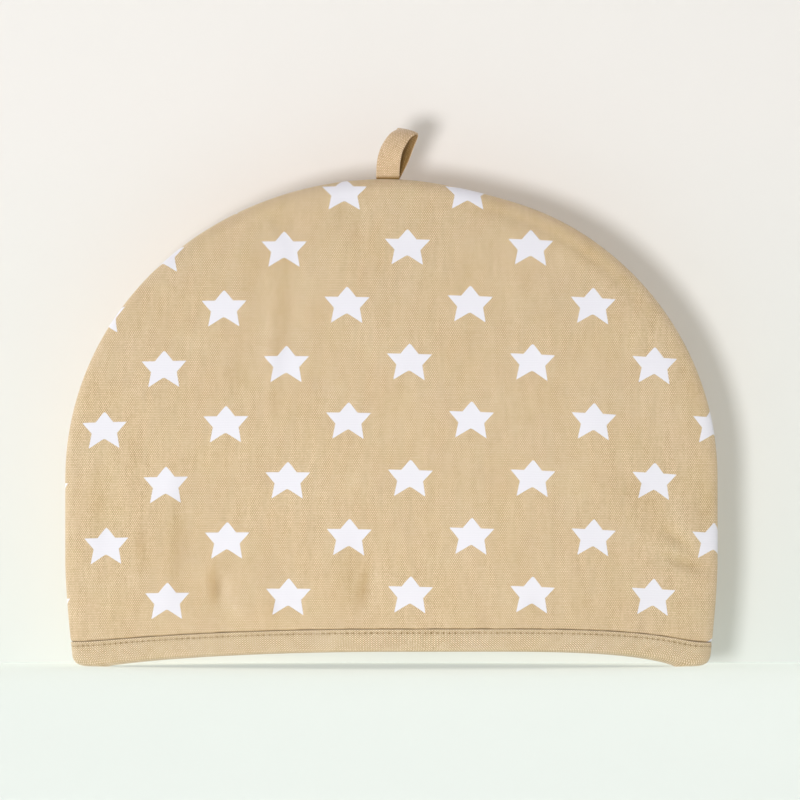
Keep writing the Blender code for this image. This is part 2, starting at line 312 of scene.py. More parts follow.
PATCH_GRAIN = 38.0
MEAN_CLOSED = 0.41  # average of how closed the cloth is, from thread to thread
THREAD_LIGHT = (0.20, 0.86)  # painted light that the threads' height adds, and the light left in the painted shade between them
SATURATION = 1.67  # before the cloth's tone and its patches take some away
TONE_FADES = 0.6  # how much of it the full tone takes away
PATCH_FADES = 0.14  # and a patch
HUE = 0.493
HUE_DRIFT = 0.012
HUE_GRAIN = 55.0
WEAVE_RELIEF = 0.00010
WEAVE_BUMP = 0.6
INK_LIGHT = (0.08, 0.95)  # the same painted light and shade for the printed stars
PLY_LIGHT = (0.25, 0.78)  # and for the plies of the sewing thread
PLY_RELIEF = 0.0001
PLY_BUMP = 0.7
ROUGHNESS = 0.92
SPECULAR = 0.25
SHEEN = 0.22
SHEEN_ROUGHNESS = 0.5
SOCKETS = {"value": "NodeSocketFloat", "vector": "NodeSocketVector", "colour": "NodeSocketColor"}

# How fine the meshes are
SAME_PLACE = 2e-7  # points that are closer become one
LEAST_SLOPE = 1e-6  # keeps a division away from 0
SHARP = math.radians(50)  # a crease that bends more stays crisp
ROLL_STEPS = 60  # in which the cloth over a rolled edge is measured
MOUTH_STEPS = 1500  # in which each side of the mouth is measured
MOUTH_END_STEPS = 21
EDGE_COLUMNS = 14  # of a panel, in each rolled edge
FIELD_COLUMNS = 150  # from there to the middle
INNER_COLUMNS = 56
HIDDEN_ROWS = 5  # behind the binding
SWELL_ROWS = 8  # from there up to the full padding, closest together at the binding
SWELL_CLOSENESS = 1.6
SIDE_ROWS = 68
DOME_ROWS = 120
STATIONS_PER_STITCH = 5

# The studio's lights: brightness as a share of full exposure, size, where they stand round the
# cosy as seen from the camera, and what they light
LIGHT_COLUMNS = ("name", "share", "size", "azimuth", "elevation", "distance", "lights")
LIGHTS = (
    ("Key light", 0.51, 0.46, -13, -5, 2.2, "all"),
    ("Left light", 0.04, 0.90, -30, 25, 2.0, "cosy"),
    ("Right light", 0.175, 0.90, 25, 25, 2.0, "cosy"),
    ("Rim light", 0.56, 0.90, -112, 12, 2.0, "cosy"),
    ("Rear light", 0.32, 1.20, 160, 25, 2.4, "cosy"),
    ("Stage light", 0.80, 2.00, 0, 78, 5.0, "stage"),
)
AIM = (0.0, 0.0, 0.13)
# The backdrop is painted darker at its foot and paler above, to even out how the light falls on it
PAPER_FADES = 0.30  # height over which the backdrop changes from its foot's colour to its own
SENSOR = 36  # width of the camera's film, in millimetres


def length_prop(name, description, default):
    return FloatProperty(name=name, description=description, default=default, unit="LENGTH")


def colour_prop(name, description, default):
    return FloatVectorProperty(
        name=name, description=description, default=default, size=3, subtype="COLOR"
    )


class CosyPattern(PropertyGroup):
    """The paper pattern: the cosy's own sizes."""

    width: length_prop("Width", "Across the cosy, seam to seam", 0.350)
    height: length_prop("Height", "From the table to the crown seam", PANEL_TOP)
    spring: length_prop("Spring height", "Where the straight sides turn into the dome", 0.100)
    depth: length_prop("Hem depth", "Front to back, across the open hem", HEM_HIGH[1] - HEM_LOW[1])
    thickness: length_prop("Thickness", "Of a panel: cloth, wadding and cloth", 0.0065)
    seam_depth: length_prop(
        "Seam depth", "How far the two panels lie face to face along their seam", 0.007
    )
    roll_width: length_prop(
        "Edge roll width", "The padded edge turns in to the seam over this width", 0.007
    )
    roll_depth: length_prop("Edge roll depth", "How far the padded edge turns back", 0.004)
    hem_lift: length_prop("Hem lift", "How far the middle of each hem is off the table", 0.009)
    binding_height: length_prop("Binding height", "Finished width of the bias binding", 0.0125)
    binding_cloth: length_prop(
        "Binding cloth", "Thickness of each side of the folded binding", 0.0011
    )


class CosySewing(PropertyGroup):
    """Tape and stitches."""

    stitch_length: length_prop("Stitch length", "From hole to hole", 0.0032)
    stitch_inset: length_prop("Stitch inset", "From the binding's edge to its topstitching", 0.0021)
    thread_width: length_prop("Thread width", "Sewing thread", 0.00042)
    stitch_pull: length_prop("Stitch pull", "How deep the stitches draw the binding in", 0.00050)
    tape_width: length_prop("Tape width", "Of the loop", 0.0125)
    tape_cloth: length_prop("Tape thickness", "Of the loop", 0.0013)


class CosyCloth(PropertyGroup):
    """Cloth, print and colours."""

    cotton: colour_prop("Cotton", "Panels", (0.630, 0.471, 0.294))
    tape: colour_prop("Bias tape", "Binding", (0.605, 0.462, 0.294))
    loop: colour_prop("Loop tape", "Hanging loop", (0.600, 0.425, 0.264))
    lining: colour_prop("Inner cotton", "Plain cotton behind the wadding", (0.61, 0.49, 0.31))
    stars: colour_prop("Stars", "Printed stars", (0.79, 0.765, 0.825))
    thread: colour_prop("Thread", "Topstitching", (0.56, 0.43, 0.27))
    warp_pitch: length_prop("Warp pitch", "From thread to thread across the cloth", 0.000575)
    weft_pitch: length_prop("Weft pitch", "From thread to thread along the cloth", 0.000895)
    tape_pitch: length_prop(
        "Tape pitch", "From thread to thread of the tape's cloth, both ways", 0.00089
    )
    star_pitch: length_prop("Star pitch", "From star to star in a row", 0.0662)
    row_pitch: length_prop("Row pitch", "From row to row of stars", 0.03093)
    star_x: length_prop("Star column", "Middle of one star", 0.0103)
    star_z: length_prop("Star row", "Height of that star", 0.0391)
    droop: FloatProperty(
        name="Row droop",
        description="How the rows fall away to the sides: the fall at 1 m",
        default=0.16,
    )
    droop_middle: length_prop("Droop middle", "Where the rows are highest", 0.0338)


class CosyStudio(PropertyGroup):
    """Camera, floor, backdrop and light."""

    camera_distance: length_prop("Camera distance", "From the seam", 4.0)
    view_width: length_prop("View width", "Width of the picture at the seam", 0.4294)
    view_x: length_prop("View middle", "Middle of the picture, across", 0.0046)
    view_z: length_prop("View height", "Height of the middle of the picture", 0.1428)
    backdrop_y: length_prop("Backdrop", "Distance behind the seam", 0.052)
    reach: length_prop("Reach", "Half the width of the floor", 12.0)
    floor: colour_prop("Floor", "Pale floor", (0.700, 0.750, 0.712))
    backdrop: colour_prop("Backdrop colour", "Pale backdrop", (0.800, 0.765, 0.745))
    backdrop_foot: colour_prop(
        "Backdrop foot", "Colour of the backdrop where it meets the floor", (0.714, 0.743, 0.718)
    )
    sky: FloatProperty(
        name="Sky",
        description="Even light from all round, as a share of full exposure",
        default=0.22,
    )


# ---------------------------------------------------------------- the cosy's surfaces


def side_of(x):
    return np.where(x < 0, -1, 1)


def by_side(x, values):
    """The value of the side on which each place is."""
    return np.where(x < 0, values[-1], values[1])


def ramp(value, full):
    """Rises from 0 to 1 as the value rises from 0 to full."""
    return np.clip(value / full, 0.0, 1.0)


def hump(off):
    """1 in the middle, and next to nothing at 2 to either side."""
    return np.exp(-(off**2))


def unit(vectors):
    """The directions of vectors, as vectors of length 1."""
    return vectors / np.linalg.norm(vectors, axis=-1, keepdims=True)


def rows_of(table, columns):
    """The rows of a table, each with its columns' names."""
    return [dict(zip(columns, row)) for row in table]


def half_width(z, side, pattern, inset=0.0):
    """Half the width at each height, on each side, of the outline drawn in by inset."""
    widest = pattern.width / 2 - inset
    taper = HEM_TAPER * np.maximum(0.0, 1 - z / TAPER_HEIGHT) ** TAPER_POWER
    below = np.clip(HEM_CORNER - z, 0.0, HEM_CORNER)
    straight = widest - taper - HEM_CORNER + np.sqrt(HEM_CORNER**2 - below**2)
    power = by_side(side, FULLNESS)
    climbed = ramp(z - pattern.spring, pattern.height - pattern.spring - inset)
    dome = widest * (1 - climbed**power) ** (1 / power)
    return np.where(z <= pattern.spring, straight, dome)


def dome_level(x, z, pattern):
    """The outline's level in the dome, 1 on the outline, and how fast it rises along x and z."""
    power = by_side(x, FULLNESS)
    wide, tall = pattern.width / 2, pattern.height - pattern.spring
    across = np.minimum(1.0, np.abs(x) / wide)
    climbed = ramp(z - pattern.spring, tall)
    level = across**power + climbed**power
    return level, power * across ** (power - 1) / wide, power * climbed ** (power - 1) / tall


def edge_distance(x, z, pattern):
    """How far each place on a panel is from its outline."""
    level, across, up = dome_level(x, z, pattern)
    dome = np.maximum(0.0, 1 - level) / np.maximum(LEAST_SLOPE, np.hypot(across, up))
    straight = np.maximum(0.0, half_width(z, side_of(x), pattern) - np.abs(x))
    return np.where(z <= pattern.spring, straight, dome)


def outward(x, z, side, pattern):
    """The direction square to the outline, out of the panel, as x and z."""
    _, across, up = dome_level(x, z, pattern)
    across = np.where(z <= pattern.spring, 1.0, across)
    up = np.where(z <= pattern.spring, 0.0, up)
    slope = np.hypot(across, up)
    return side * across / slope, up / slope


def bow(u, z, inset, pattern):
    """Share of the full bow: a lens across, which closes towards the crown."""
    return (1 - u * u) * np.maximum(0.0, 1 - (z / (pattern.height - inset)) ** 2)


def lift(u, z, pattern):
    """How far the hem's arch raises each place."""
    arch = 1 - (np.abs(u) / HEM_FOOT) ** by_side(u, ARCH_FULLNESS)
    ease = ARCH_EASE * np.minimum(1.0, z / pattern.binding_height)
    arch = (arch + np.sqrt(arch * arch + ease * ease)) / 2
    fade = np.maximum(0.0, 1 - (z / LIFT_FADE) ** LIFT_FADE_POWER) ** 2
    return pattern.hem_lift * arch**ARCH_POWER * fade


def sag(x, z, pattern):
    """How far the crown has sunk at each place."""
    return SAG * hump((x - SAG_X) / SAG_WIDTH) * (z / pattern.height) ** SAG_POWER


def place(x, depth, u, z, facing, pattern):
    """Points at a depth from the seam's plane, raised by the arch and lowered by the sag."""
    level = z + lift(u, z, pattern) - sag(x, z, pattern)
    return np.stack(np.broadcast_arrays(x, facing * depth, level), axis=-1)


def outer_skin(u, z, facing, pattern, relief=0.0):
    """Places on the outer skin, raised by relief; u runs from -1 at the left edge to 1."""
    x = u * half_width(z, side_of(u), pattern)
    turned = 1 - np.minimum(1.0, edge_distance(x, z, pattern) / pattern.roll_width)
    roll = pattern.roll_depth * np.sqrt(1 - turned * turned)
    full_bow = pattern.depth / 2 - SHOULDER - pattern.roll_depth
    depth = SHOULDER + roll + full_bow * bow(u, z, 0.0, pattern) + relief
    return place(x, depth, u, z, facing, pattern)


def inner_skin(u, z, facing, pattern):
    """The places on the inner skin behind them."""
    inset = pattern.seam_depth
    x = u * half_width(z, side_of(u), pattern, inset)
    full_bow = pattern.depth / 2 - pattern.thickness - GAP / 2
    depth = GAP / 2 + full_bow * bow(u, z, inset, pattern)
    return place(x, depth, u, z, facing, pattern)


# ---------------------------------------------------------------- folds and puckers


def ripple(along):
    """An uneven row of small puckers."""
    total = np.zeros_like(along)
    for i, wave in enumerate(rows_of(PUCKERS, PUCKER_COLUMNS)):
        wander = PUCKER_WANDER * np.sin(along / (wave["length"] * PUCKER_DRIFT) + i)
        total += wave["height"] * np.sin(2 * np.pi * along / wave["length"] + wander + 2 * i)
    return total


def folds(x, z, facing):
    """Depth of the soft folds."""
    total = np.zeros_like(x)
    for fold in rows_of(FOLDS[facing], FOLD_COLUMNS):
        lean = math.radians(fold["lean"])
        dx, dz = x - fold["x"], z - fold["z"]
        along = (dz * math.cos(lean) - dx * math.sin(lean)) / fold["length"]
        across = (dx * math.cos(lean) + dz * math.sin(lean)) / fold["width"]
        total += fold["depth"] * np.exp(-(along**2) - across**2)
    return total


def hollows(x, z, facing, pattern):
    """Depth of the hollows inside the rolled edge."""
    angle = np.degrees(np.arctan2(z - pattern.spring, x))
    total = np.zeros_like(angle)
    for hollow in rows_of(HOLLOWS[facing], HOLLOW_COLUMNS):
        total += hollow["depth"] * hump((angle - hollow["angle"]) / hollow["spread"])
    return total * hump((edge_distance(x, z, pattern) - HOLLOW_INSET) / HOLLOW_WIDTH)


# Depth of the folds and hollows: it shapes the cloth and sets their painted shade
def troughs(x, z, facing, pattern):
    return folds(x, z, facing) + hollows(x, z, facing, pattern)


def swells(x, z, facing):
    """Unevenness of the wadding."""
    total = np.zeros_like(x)
    for wave in rows_of(SWELLS, SWELL_COLUMNS):
        phase = 2 * np.pi * (wave["along_x"] * x + wave["along_z"] * z)
        total += wave["height"] * np.sin(phase + wave["start"] + facing)
    return total


def panel_relief(x, z, facing, pattern):
    """How far folds, puckers and wadding raise a panel's outer skin."""
    from_edge = edge_distance(x, z, pattern)
    above = np.maximum(0.0, z - pattern.binding_height)
    field = ramp(above, FOLD_RISE) * ramp(from_edge, FOLD_INSET)
    hem = ripple(x * facing + PUCKER_START) * np.exp(-above / HEM_PUCKER_FADE)
    angle = np.arctan2(z - pattern.spring, x)
    seam = SEAM_PUCKERS * ripple(angle * DOME_RADIUS * facing)
    seam = seam * np.exp(-from_edge / SEAM_PUCKER_FADE)
    seam = seam * ramp(above, SEAM_PUCKER_RISE) * ramp(from_edge, SEAM_PUCKER_INSET)
    return field * (swells(x, z, facing) - troughs(x, z, facing, pattern)) + hem + seam


def tuck(z, pattern):
    """How far the binding presses the panel in, as a share of the panel's thickness."""
    above = ramp(z - pattern.binding_height, TUCK_ROLL)
    return TUCK / pattern.thickness * (1 - np.sqrt(1 - (1 - above) ** 2))


# ---------------------------------------------------------------- meshes


def new_mesh(name, points, faces, corner_uvs):
    """A mesh whose UV map holds the places on the flat cloth."""
    mesh = bpy.data.meshes.new(name)
    mesh.from_pydata(points.reshape(-1, 3).tolist(), [], faces)
    layer = mesh.uv_layers.new(name="Cloth")
    layer.data.foreach_set("uv", corner_uvs.astype(np.float32).ravel())
    return mesh


def grid_mesh(name, points, uvs, materials, slots=None, caps=(), shade=None):
    """Skins a grid of points. A way round which uvs has one line more than points is closed.

    Points that fall together become one. slots gives each column of faces its material, caps
    names the rows that are filled with one face, and shade is the painted shade of each point.
    """
    rows, columns = points.shape[:2]
    i, j = np.indices((uvs.shape[0] - 1, uvs.shape[1] - 1))
    corners = ((i, j), (i, j + 1), (i + 1, j + 1), (i + 1, j))
    faces = np.stack([(a % rows) * columns + b % columns for a, b in corners], axis=-1)
    faces = faces.reshape(-1, 4).tolist()
    corner_uvs = np.stack([uvs[a, b] for a, b in corners], axis=-2).reshape(-1, 2)
    face_slots = np.zeros(i.shape, int) if slots is None else slots[j]
    for row in caps:
        faces.append([row % rows * columns + k for k in range(columns)])
        corner_uvs = np.vstack([corner_uvs, uvs[row, :columns]])
        face_slots = np.append(face_slots, 0)
    mesh = new_mesh(name, points, faces, corner_uvs)
    mesh.polygons.foreach_set("material_index", face_slots.ravel().astype(np.int32))
    if shade is not None:
        depth = mesh.attributes.new(name="Painted shade", type="FLOAT", domain="POINT")
        depth.data.foreach_set("value", shade.astype(np.float32).ravel())
    return finished(name, mesh, materials)


def added(name, data):
    """A new object in the scene."""
    obj = bpy.data.objects.new(name, data)
    bpy.context.scene.collection.objects.link(obj)
    return obj


def finished(name, mesh, materials):
    """Closes the mesh, turns its faces out, shades it smooth and makes the object."""
    bm = bmesh.new()
    bm.from_mesh(mesh)
    bmesh.ops.remove_doubles(bm, verts=bm.verts, dist=SAME_PLACE)
    bmesh.ops.recalc_face_normals(bm, faces=bm.faces)
    bm.to_mesh(mesh)
    bm.free()
    for material in materials:
        mesh.materials.append(material)
    mesh.shade_smooth()
    mesh.set_sharp_from_angle(angle=SHARP)
    return added(name, mesh)


def run_along(points):
    """The distance along a line of points, from its first."""
    steps = np.linalg.norm(np.diff(points, axis=0), axis=1)
    return np.concatenate([[0.0], np.cumsum(steps)])


# ---------------------------------------------------------------- the padded panels


def panel_columns(pattern):
    """u across a panel: close together where its edge rolls in."""
    edge = pattern.roll_width / (pattern.width / 2)
    roll = 1 - edge * (np.arange(EDGE_COLUMNS) / EDGE_COLUMNS) ** 2
    field = (1 - edge) * (1 - np.arange(FIELD_COLUMNS) / FIELD_COLUMNS)
    half = np.concatenate([roll, field])
    return np.concatenate([-half, [0.0], half[::-1]])


def panel_rows(pattern):
    """Heights of a panel's rows on its outer and on its inner skin."""
    foot = pattern.binding_cloth + GAP
    hidden = np.linspace(foot, pattern.binding_height, HIDDEN_ROWS)
    swell = np.linspace(0, 1, SWELL_ROWS + 1)[1:] ** SWELL_CLOSENESS
    swell = pattern.binding_height + TUCK_ROLL * swell
    sides = np.linspace(swell[-1], pattern.spring, SIDE_ROWS + 1)[1:]
    below = np.concatenate([hidden, swell, sides])
    climb = np.sin(np.linspace(0, np.pi / 2, DOME_ROWS + 1)[1:])
    rise = pattern.height - pattern.spring
    climb[-1] = 1.0
    outer = pattern.spring + rise * climb
    inner = pattern.spring + (rise - pattern.seam_depth) * climb
    return np.concatenate([below, outer]), np.concatenate([below, inner])


def seam_lips(ends, side, z, facing, pattern):
    """Points from each row's end in to the seam, and how far each is along the cloth."""
    x = side * half_width(z, side, pattern)
    out_x, out_z = outward(x, z, side, pattern)
    at_tape = ramp(TAPE_POCKET - np.hypot(x - LOOP_MIDDLE, z - pattern.height), POCKET_CLOSES)
    lips, runs, run = [ends], [], 0.0
    for plain, tape in zip(PLAIN_LIPS, TAPE_LIPS):
        depth, inset = (a + (b - a) * at_tape for a, b in zip(plain, tape))
        lip = ends - np.stack([out_x * inset, 0 * inset, out_z * inset], axis=-1)
        lip[:, 1] = facing * depth
        run += float(np.median(np.linalg.norm(lip - lips[-1], axis=1)))
        lips.append(lip)
        runs.append(run)
    return np.stack(lips[1:], axis=1), runs


def roll_excess(width, pattern):
    """How much more cloth than its width there is over the rolled edge, from its top."""
    places = np.linspace(0, pattern.roll_width, ROLL_STEPS)
    turned = 1 - places / pattern.roll_width
    line = np.stack([places, pattern.roll_depth * np.sqrt(1 - turned**2)], axis=-1)
    run = run_along(line)
    return np.interp(width, places, (run[-1] - run) - (pattern.roll_width - places))


def cloth_uv(x, z, side, facing, pattern, further=0.0):
    """Places on the flat cloth in metres: there is more of it than shows where a panel rolls in
    at its edge, leans back at the crown or bows at the hem."""
    out_x, out_z = outward(x, z, side, pattern)
    extra = roll_excess(edge_distance(x, z, pattern), pattern) + further
    up = ramp(z, pattern.height)
    u = x / half_width(np.minimum(z, BELOW_CROWN * pattern.height), side, pattern)
    across = x * (1 + BOW_EASE * (1 - up)) + out_x * extra + PRINT_LEAN * up**LEAN_POWER
    seen = z + lift(np.clip(u, -1.0, 1.0), z, pattern) - sag(x, z, pattern)
    level = seen + out_z * extra + CROWN_EASE * up**CROWN_POWER
    return np.stack([-facing * across, level], axis=-1)


def lip_uv(side, z, facing, pattern, runs):
    """The flat cloth's places along the seam's lips."""
    x = side * half_width(z, side, pattern)
    return np.stack([cloth_uv(x, z, side, facing, pattern, run) for run in runs], axis=1)


def tucked(skin, behind, z, pattern):
    """A skin drawn back towards the other one where the binding presses the panel in."""
    return skin + (behind - skin) * tuck(z, pattern)[..., None]


def painted_panel_shade(points, x, z, facing, pattern):
    """The painted shade along the binding, round the loop's root and in the face's folds."""
    above = np.maximum(0.0, z - pattern.binding_height)
    # painted shade along the top of the binding, where the panel goes into it
    hem_line_shade = HEM_PAINTED_SHADE * by_hand(points[..., 0]) * hump(above / HEM_SHADE)
    # painted shade round the loop's root, where it goes into the crown seam
    from_tape = np.hypot(points[..., 0] - LOOP_MIDDLE, points[..., 2] - pattern.height)
    at_tape = ramp(TAPE_POCKET - from_tape, POCKET_CLOSES)
    at_tape = at_tape * ramp(TAPE_SHADE - np.abs(points[..., 1]), TAPE_SHADE_FADE)
    shade = np.maximum(hem_line_shade, at_tape)
    # painted shade in the folds and hollows, and painted light on the ridges
    fold_shade = ramp(above, PAINTED_FOLD_SHADE_RISE) * troughs(x, z, facing, pattern)
    shade[:, : x.shape[1]] += PAINTED_FOLD_SHADE * fold_shade
    return shade


def make_panel(name, facing, pattern, materials):
    """One padded panel: its printed face, its rolled edge and the plain cloth inside."""
    u = panel_columns(pattern)[None, :]
    inner_u = np.linspace(1, -1, INNER_COLUMNS + 1)[None, :]
    z_outer, z_inner = panel_rows(pattern)
    z, z_in = z_outer[:, None], z_inner[:, None]
    x = u * half_width(z, side_of(u), pattern)
    outer = outer_skin(u, z, facing, pattern, panel_relief(x, z, facing, pattern))
    outer = tucked(outer, inner_skin(u, z, facing, pattern), z, pattern)
    inner = inner_skin(inner_u, z_in, facing, pattern)
    inner = tucked(inner, outer_skin(inner_u, z_in, facing, pattern), z_in, pattern)
    right, runs = seam_lips(outer[:, -1], 1, z_outer, facing, pattern)
    left, _ = seam_lips(outer[:, 0], -1, z_outer, facing, pattern)
    points = np.concatenate([outer, right, inner, left[:, ::-1]], axis=1)
    face_uv = cloth_uv(x, z + 0 * x, side_of(u), facing, pattern)
    right_uv, left_uv = (lip_uv(side, z_outer, facing, pattern, runs) for side in (1, -1))
    uvs = [face_uv, right_uv, inner[..., [0, 2]], left_uv[:, ::-1], face_uv[:, :1]]
    slots = np.zeros(points.shape[1], int)
    inside = u.size + len(PLAIN_LIPS)
    slots[inside : inside + INNER_COLUMNS] = 1
    shade = painted_panel_shade(points, x, z, facing, pattern)
    uvs = np.concatenate(uvs, axis=1)
    return grid_mesh(name, points, uvs, materials, slots, caps=[0], shade=shade)


# ---------------------------------------------------------------- the bias binding


def by_hand(run):
    """How tightly the seam is drawn in at each distance along it: about 1, and uneven. It
    scales the painted shade along the top of the binding and at the needle holes.
    """
    waves = (np.sin(2 * np.pi * run / wave + start) for wave, start in HAND_WAVES)
    return 1 + HAND_UNEVEN * sum(waves)


class Mouth:
    """The line round the open hem, measured on its outer skin at the topstitching."""

    def __init__(self, pattern, sewing):
        u = np.linspace(-1, 1, MOUTH_STEPS)
        end = np.linspace(-1, 1, MOUTH_END_STEPS)
        self.u = np.concatenate([u, 0 * end + 1, -u, 0 * end - 1])
        self.facing = np.concatenate([0 * u - 1, end, 0 * u + 1, -end])
        self.stitch_height = pattern.binding_height - sewing.stitch_inset
        self.run = run_along(outer_skin(self.u, self.stitch_height, self.facing, pattern))
        self.stitches = round(self.run[-1] / sewing.stitch_length)
        self.stitch = self.run[-1] / self.stitches

    def at(self, run):
        """u and facing at each distance along the mouth."""
        run = np.mod(run, self.run[-1])
        return np.interp(run, self.run, self.u), np.interp(run, self.run, self.facing)


def binding_section(pattern):
    """The folded tape's section, from inside its front edge round its foot to its back edge:
    share of the panel's thickness from the outer skin, and height."""
    top, wall = pattern.binding_height, pattern.binding_cloth / pattern.thickness
    edge = pattern.binding_cloth / 2  # the tape's edges are folds, so they are round
    turn = np.linspace(0, np.pi, FOLD_POINTS)
    edge_share, edge_height = wall / 2 * (1 + np.cos(turn)), top - edge + edge * np.sin(turn)
    below_edge, stitched, count = STITCHED_ROWS
    stitched = np.linspace(edge + below_edge, stitched, count)
    face = top - np.concatenate([stitched, np.linspace(*FACE_ROWS)])
    bend = np.linspace(0, np.pi, FOOT_POINTS)
    foot_share = 0.5 - 0.5 * np.sign(np.cos(bend)) * np.abs(np.cos(bend)) ** FOOT_ROUND
    foot_height = FOOT_BEND * (1 - np.sin(bend) ** FOOT_ROUND)
    inside = np.linspace(top - edge, pattern.binding_cloth, WALL_POINTS)[1:]
    share = [edge_share, 0 * face, foot_share, 0 * face + 1, 1 - edge_share[::-1]]
    share += [0 * inside + 1 - wall, 0 * inside + wall]
    height = [edge_height, face, foot_height, face[::-1], edge_height[::-1]]
    height += [inside, inside[::-1]]
    return np.concatenate(share), np.concatenate(height)


def near_holes(run, height, mouth, width):
    """How near each place is to the row of holes, and how near to a hole along it: 0 to 1."""
    row = hump((height - mouth.stitch_height) / width)
    return row, 0.5 + 0.5 * np.cos(2 * np.pi * run / mouth.stitch)


def stitch_pull(run, height, mouth, sewing):
    """How deep the topstitching draws the binding in: a groove, deeper at each hole."""
    row, hole = near_holes(run, height, mouth, GROOVE_WIDTH)
    return sewing.stitch_pull * row * (GROOVE_BETWEEN + (1 - GROOVE_BETWEEN) * hole**2)


def needle_hole_shade(run, height, mouth):
    """Painted shade in the dimples where the stitches go through the binding."""
    row, hole = near_holes(run, height, mouth, HOLE_WIDTH)
    return row * hole**HOLE_POWER


def binding_relief(run, height, mouth, sewing):
    """How far the binding stands out: slanting drags of bias cloth, less the stitches' pull."""
    around = 2 * np.pi * (run + height) / mouth.run[-1]
    drag = sum(DRAG_HEIGHT * np.sin(n * around + n) for n in DRAGS)
    return drag * ramp(height, DRAG_RISE) - stitch_pull(run, height, mouth, sewing)


def binding_place(run, share, height, mouth, pattern, relief=0.0):
    """Places on the binding: between the skins, raised square to the skin by relief."""
    u, facing = mouth.at(run)
    outer = outer_skin(u, height, facing, pattern)
    inner = inner_skin(u, height, facing, pattern)
    out = unit(outer - inner)
    side = (1 - 2 * share) * relief
    return outer + (inner - outer) * share[..., None] + out * side[..., None]


def strip_uv(along, across):
    """The flat strip's places, for each distance along it and each across it."""
    return np.stack(np.meshgrid(along, across, indexing="ij"), axis=-1)


def make_binding(name, pattern, sewing, materials):
    """The bias binding: its section carried round the mouth, front and back."""
    mouth = Mouth(pattern, sewing)
    share, height = binding_section(pattern)
    stations = mouth.stitches * STATIONS_PER_STITCH
    runs = np.linspace(0, mouth.run[-1], stations, endpoint=False)[:, None]
    share, height = np.broadcast_arrays(share[None, :], height[None, :])
    run, share, height = np.broadcast_arrays(runs, share, height)
    relief = binding_relief(run, height, mouth, sewing)
    points = binding_place(run, share, height, mouth, pattern, relief)
    section = np.stack([share[0] * pattern.thickness, height[0]], axis=-1)
    down = run_along(np.vstack([section, section[:1]]))
    along = np.linspace(0, mouth.run[-1], stations + 1)
    # painted shade inside the binding's channel
    inside = np.minimum(share, 1 - share) * pattern.thickness / pattern.binding_cloth
    behind = ramp(inside - INSIDE_SHADE_START, INSIDE_SHADE_FADE) * (height > FOOT_BEND)
    # painted shade at each needle hole
    holes = PAINTED_HOLE_SHADE * by_hand(run) * needle_hole_shade(run, height, mouth)
    shade = np.maximum(holes, behind)
    return grid_mesh(name, points, strip_uv(along, -down), materials, shade=shade)


def stitch_faces():
    """One stitch's faces, and how far along the thread and round it each of their corners is."""
    faces, corners = [], []
    for i in range(STITCH_STATIONS - 1):
        for j in range(STITCH_SIDES):
            a, b = i * STITCH_SIDES + j, i * STITCH_SIDES + (j + 1) % STITCH_SIDES
            faces.append((a, b, b + STITCH_SIDES, a + STITCH_SIDES))
            corners += [(i, j), (i, j + 1), (i + 1, j + 1), (i + 1, j)]
    for first in (0, STITCH_SIDES * (STITCH_STATIONS - 1)):
        faces.append(tuple(range(first, first + STITCH_SIDES)))
        corners += [(0, 0)] * STITCH_SIDES
    return faces, corners


def make_topstitch(name, pattern, sewing, materials):
    """One thread outside and one inside, a small bowed cylinder for each stitch."""
    mouth = Mouth(pattern, sewing)
    t = np.linspace(-1, 1, STITCH_STATIONS)
    middles = (np.arange(mouth.stitches) + 0.5) * mouth.stitch
    run = middles[:, None] + t * mouth.stitch * STITCH_SPAN / 2
    height = np.full(run.shape, mouth.stitch_height)
    thread = sewing.thread_width / 2
    radius = thread * np.sqrt(np.maximum(THREAD_END, 1 - t**6))
    bowed = thread * (THREAD_RISE - THREAD_DIP * t**4)
    bowed = bowed - THREAD_SINKS * stitch_pull(run, height, mouth, sewing)
    angles = np.linspace(0, 2 * np.pi, STITCH_SIDES, endpoint=False)
    cos, sin = np.cos(angles)[:, None], np.sin(angles)[:, None]
    rings = []
    for share in (0.0, 1.0):
        sides = np.full(run.shape, share)
        middle = binding_place(run, sides, height, mouth, pattern, bowed)
        above = binding_place(run, sides, height, mouth, pattern, bowed + thread)
        out = unit(above - middle)
        across = np.cross(unit(np.gradient(middle, axis=1)), out)
        circle = cos * out[:, :, None] + sin * across[:, :, None]
        rings.append(middle[:, :, None] + radius[:, None, None] * circle)
    rings = np.concatenate(rings)
    one, corners = stitch_faces()
    starts = np.arange(len(rings)) * STITCH_STATIONS * STITCH_SIDES
    faces = [tuple(start + k for k in face) for start in starts.tolist() for face in one]
    pace = np.array([mouth.stitch / (STITCH_STATIONS - 1), 2 * np.pi * thread / STITCH_SIDES])
    mesh = new_mesh(name, rings, faces, np.tile(corners * pace, (len(rings), 1)))
    return finished(name, mesh, materials)


# ---------------------------------------------------------------- the hanging loop


def smooth_rows(table, places):
    """Reads a table of numbers at places between its rows, on a smooth curve."""
    values = np.asarray(table, float)
    last = len(values) - 1
    i = np.minimum(places.astype(int), last - 1)
    t = (places - i)[:, None]
    before, a, b, after = (values[np.clip(i + k, 0, last)] for k in (-1, 0, 1, 2))
    return 0.5 * (
        2 * a
        + (b - before) * t
        + (2 * before - 5 * a + 4 * b - after) * t**2
        + (3 * a - before - 3 * b + after) * t**3
    )


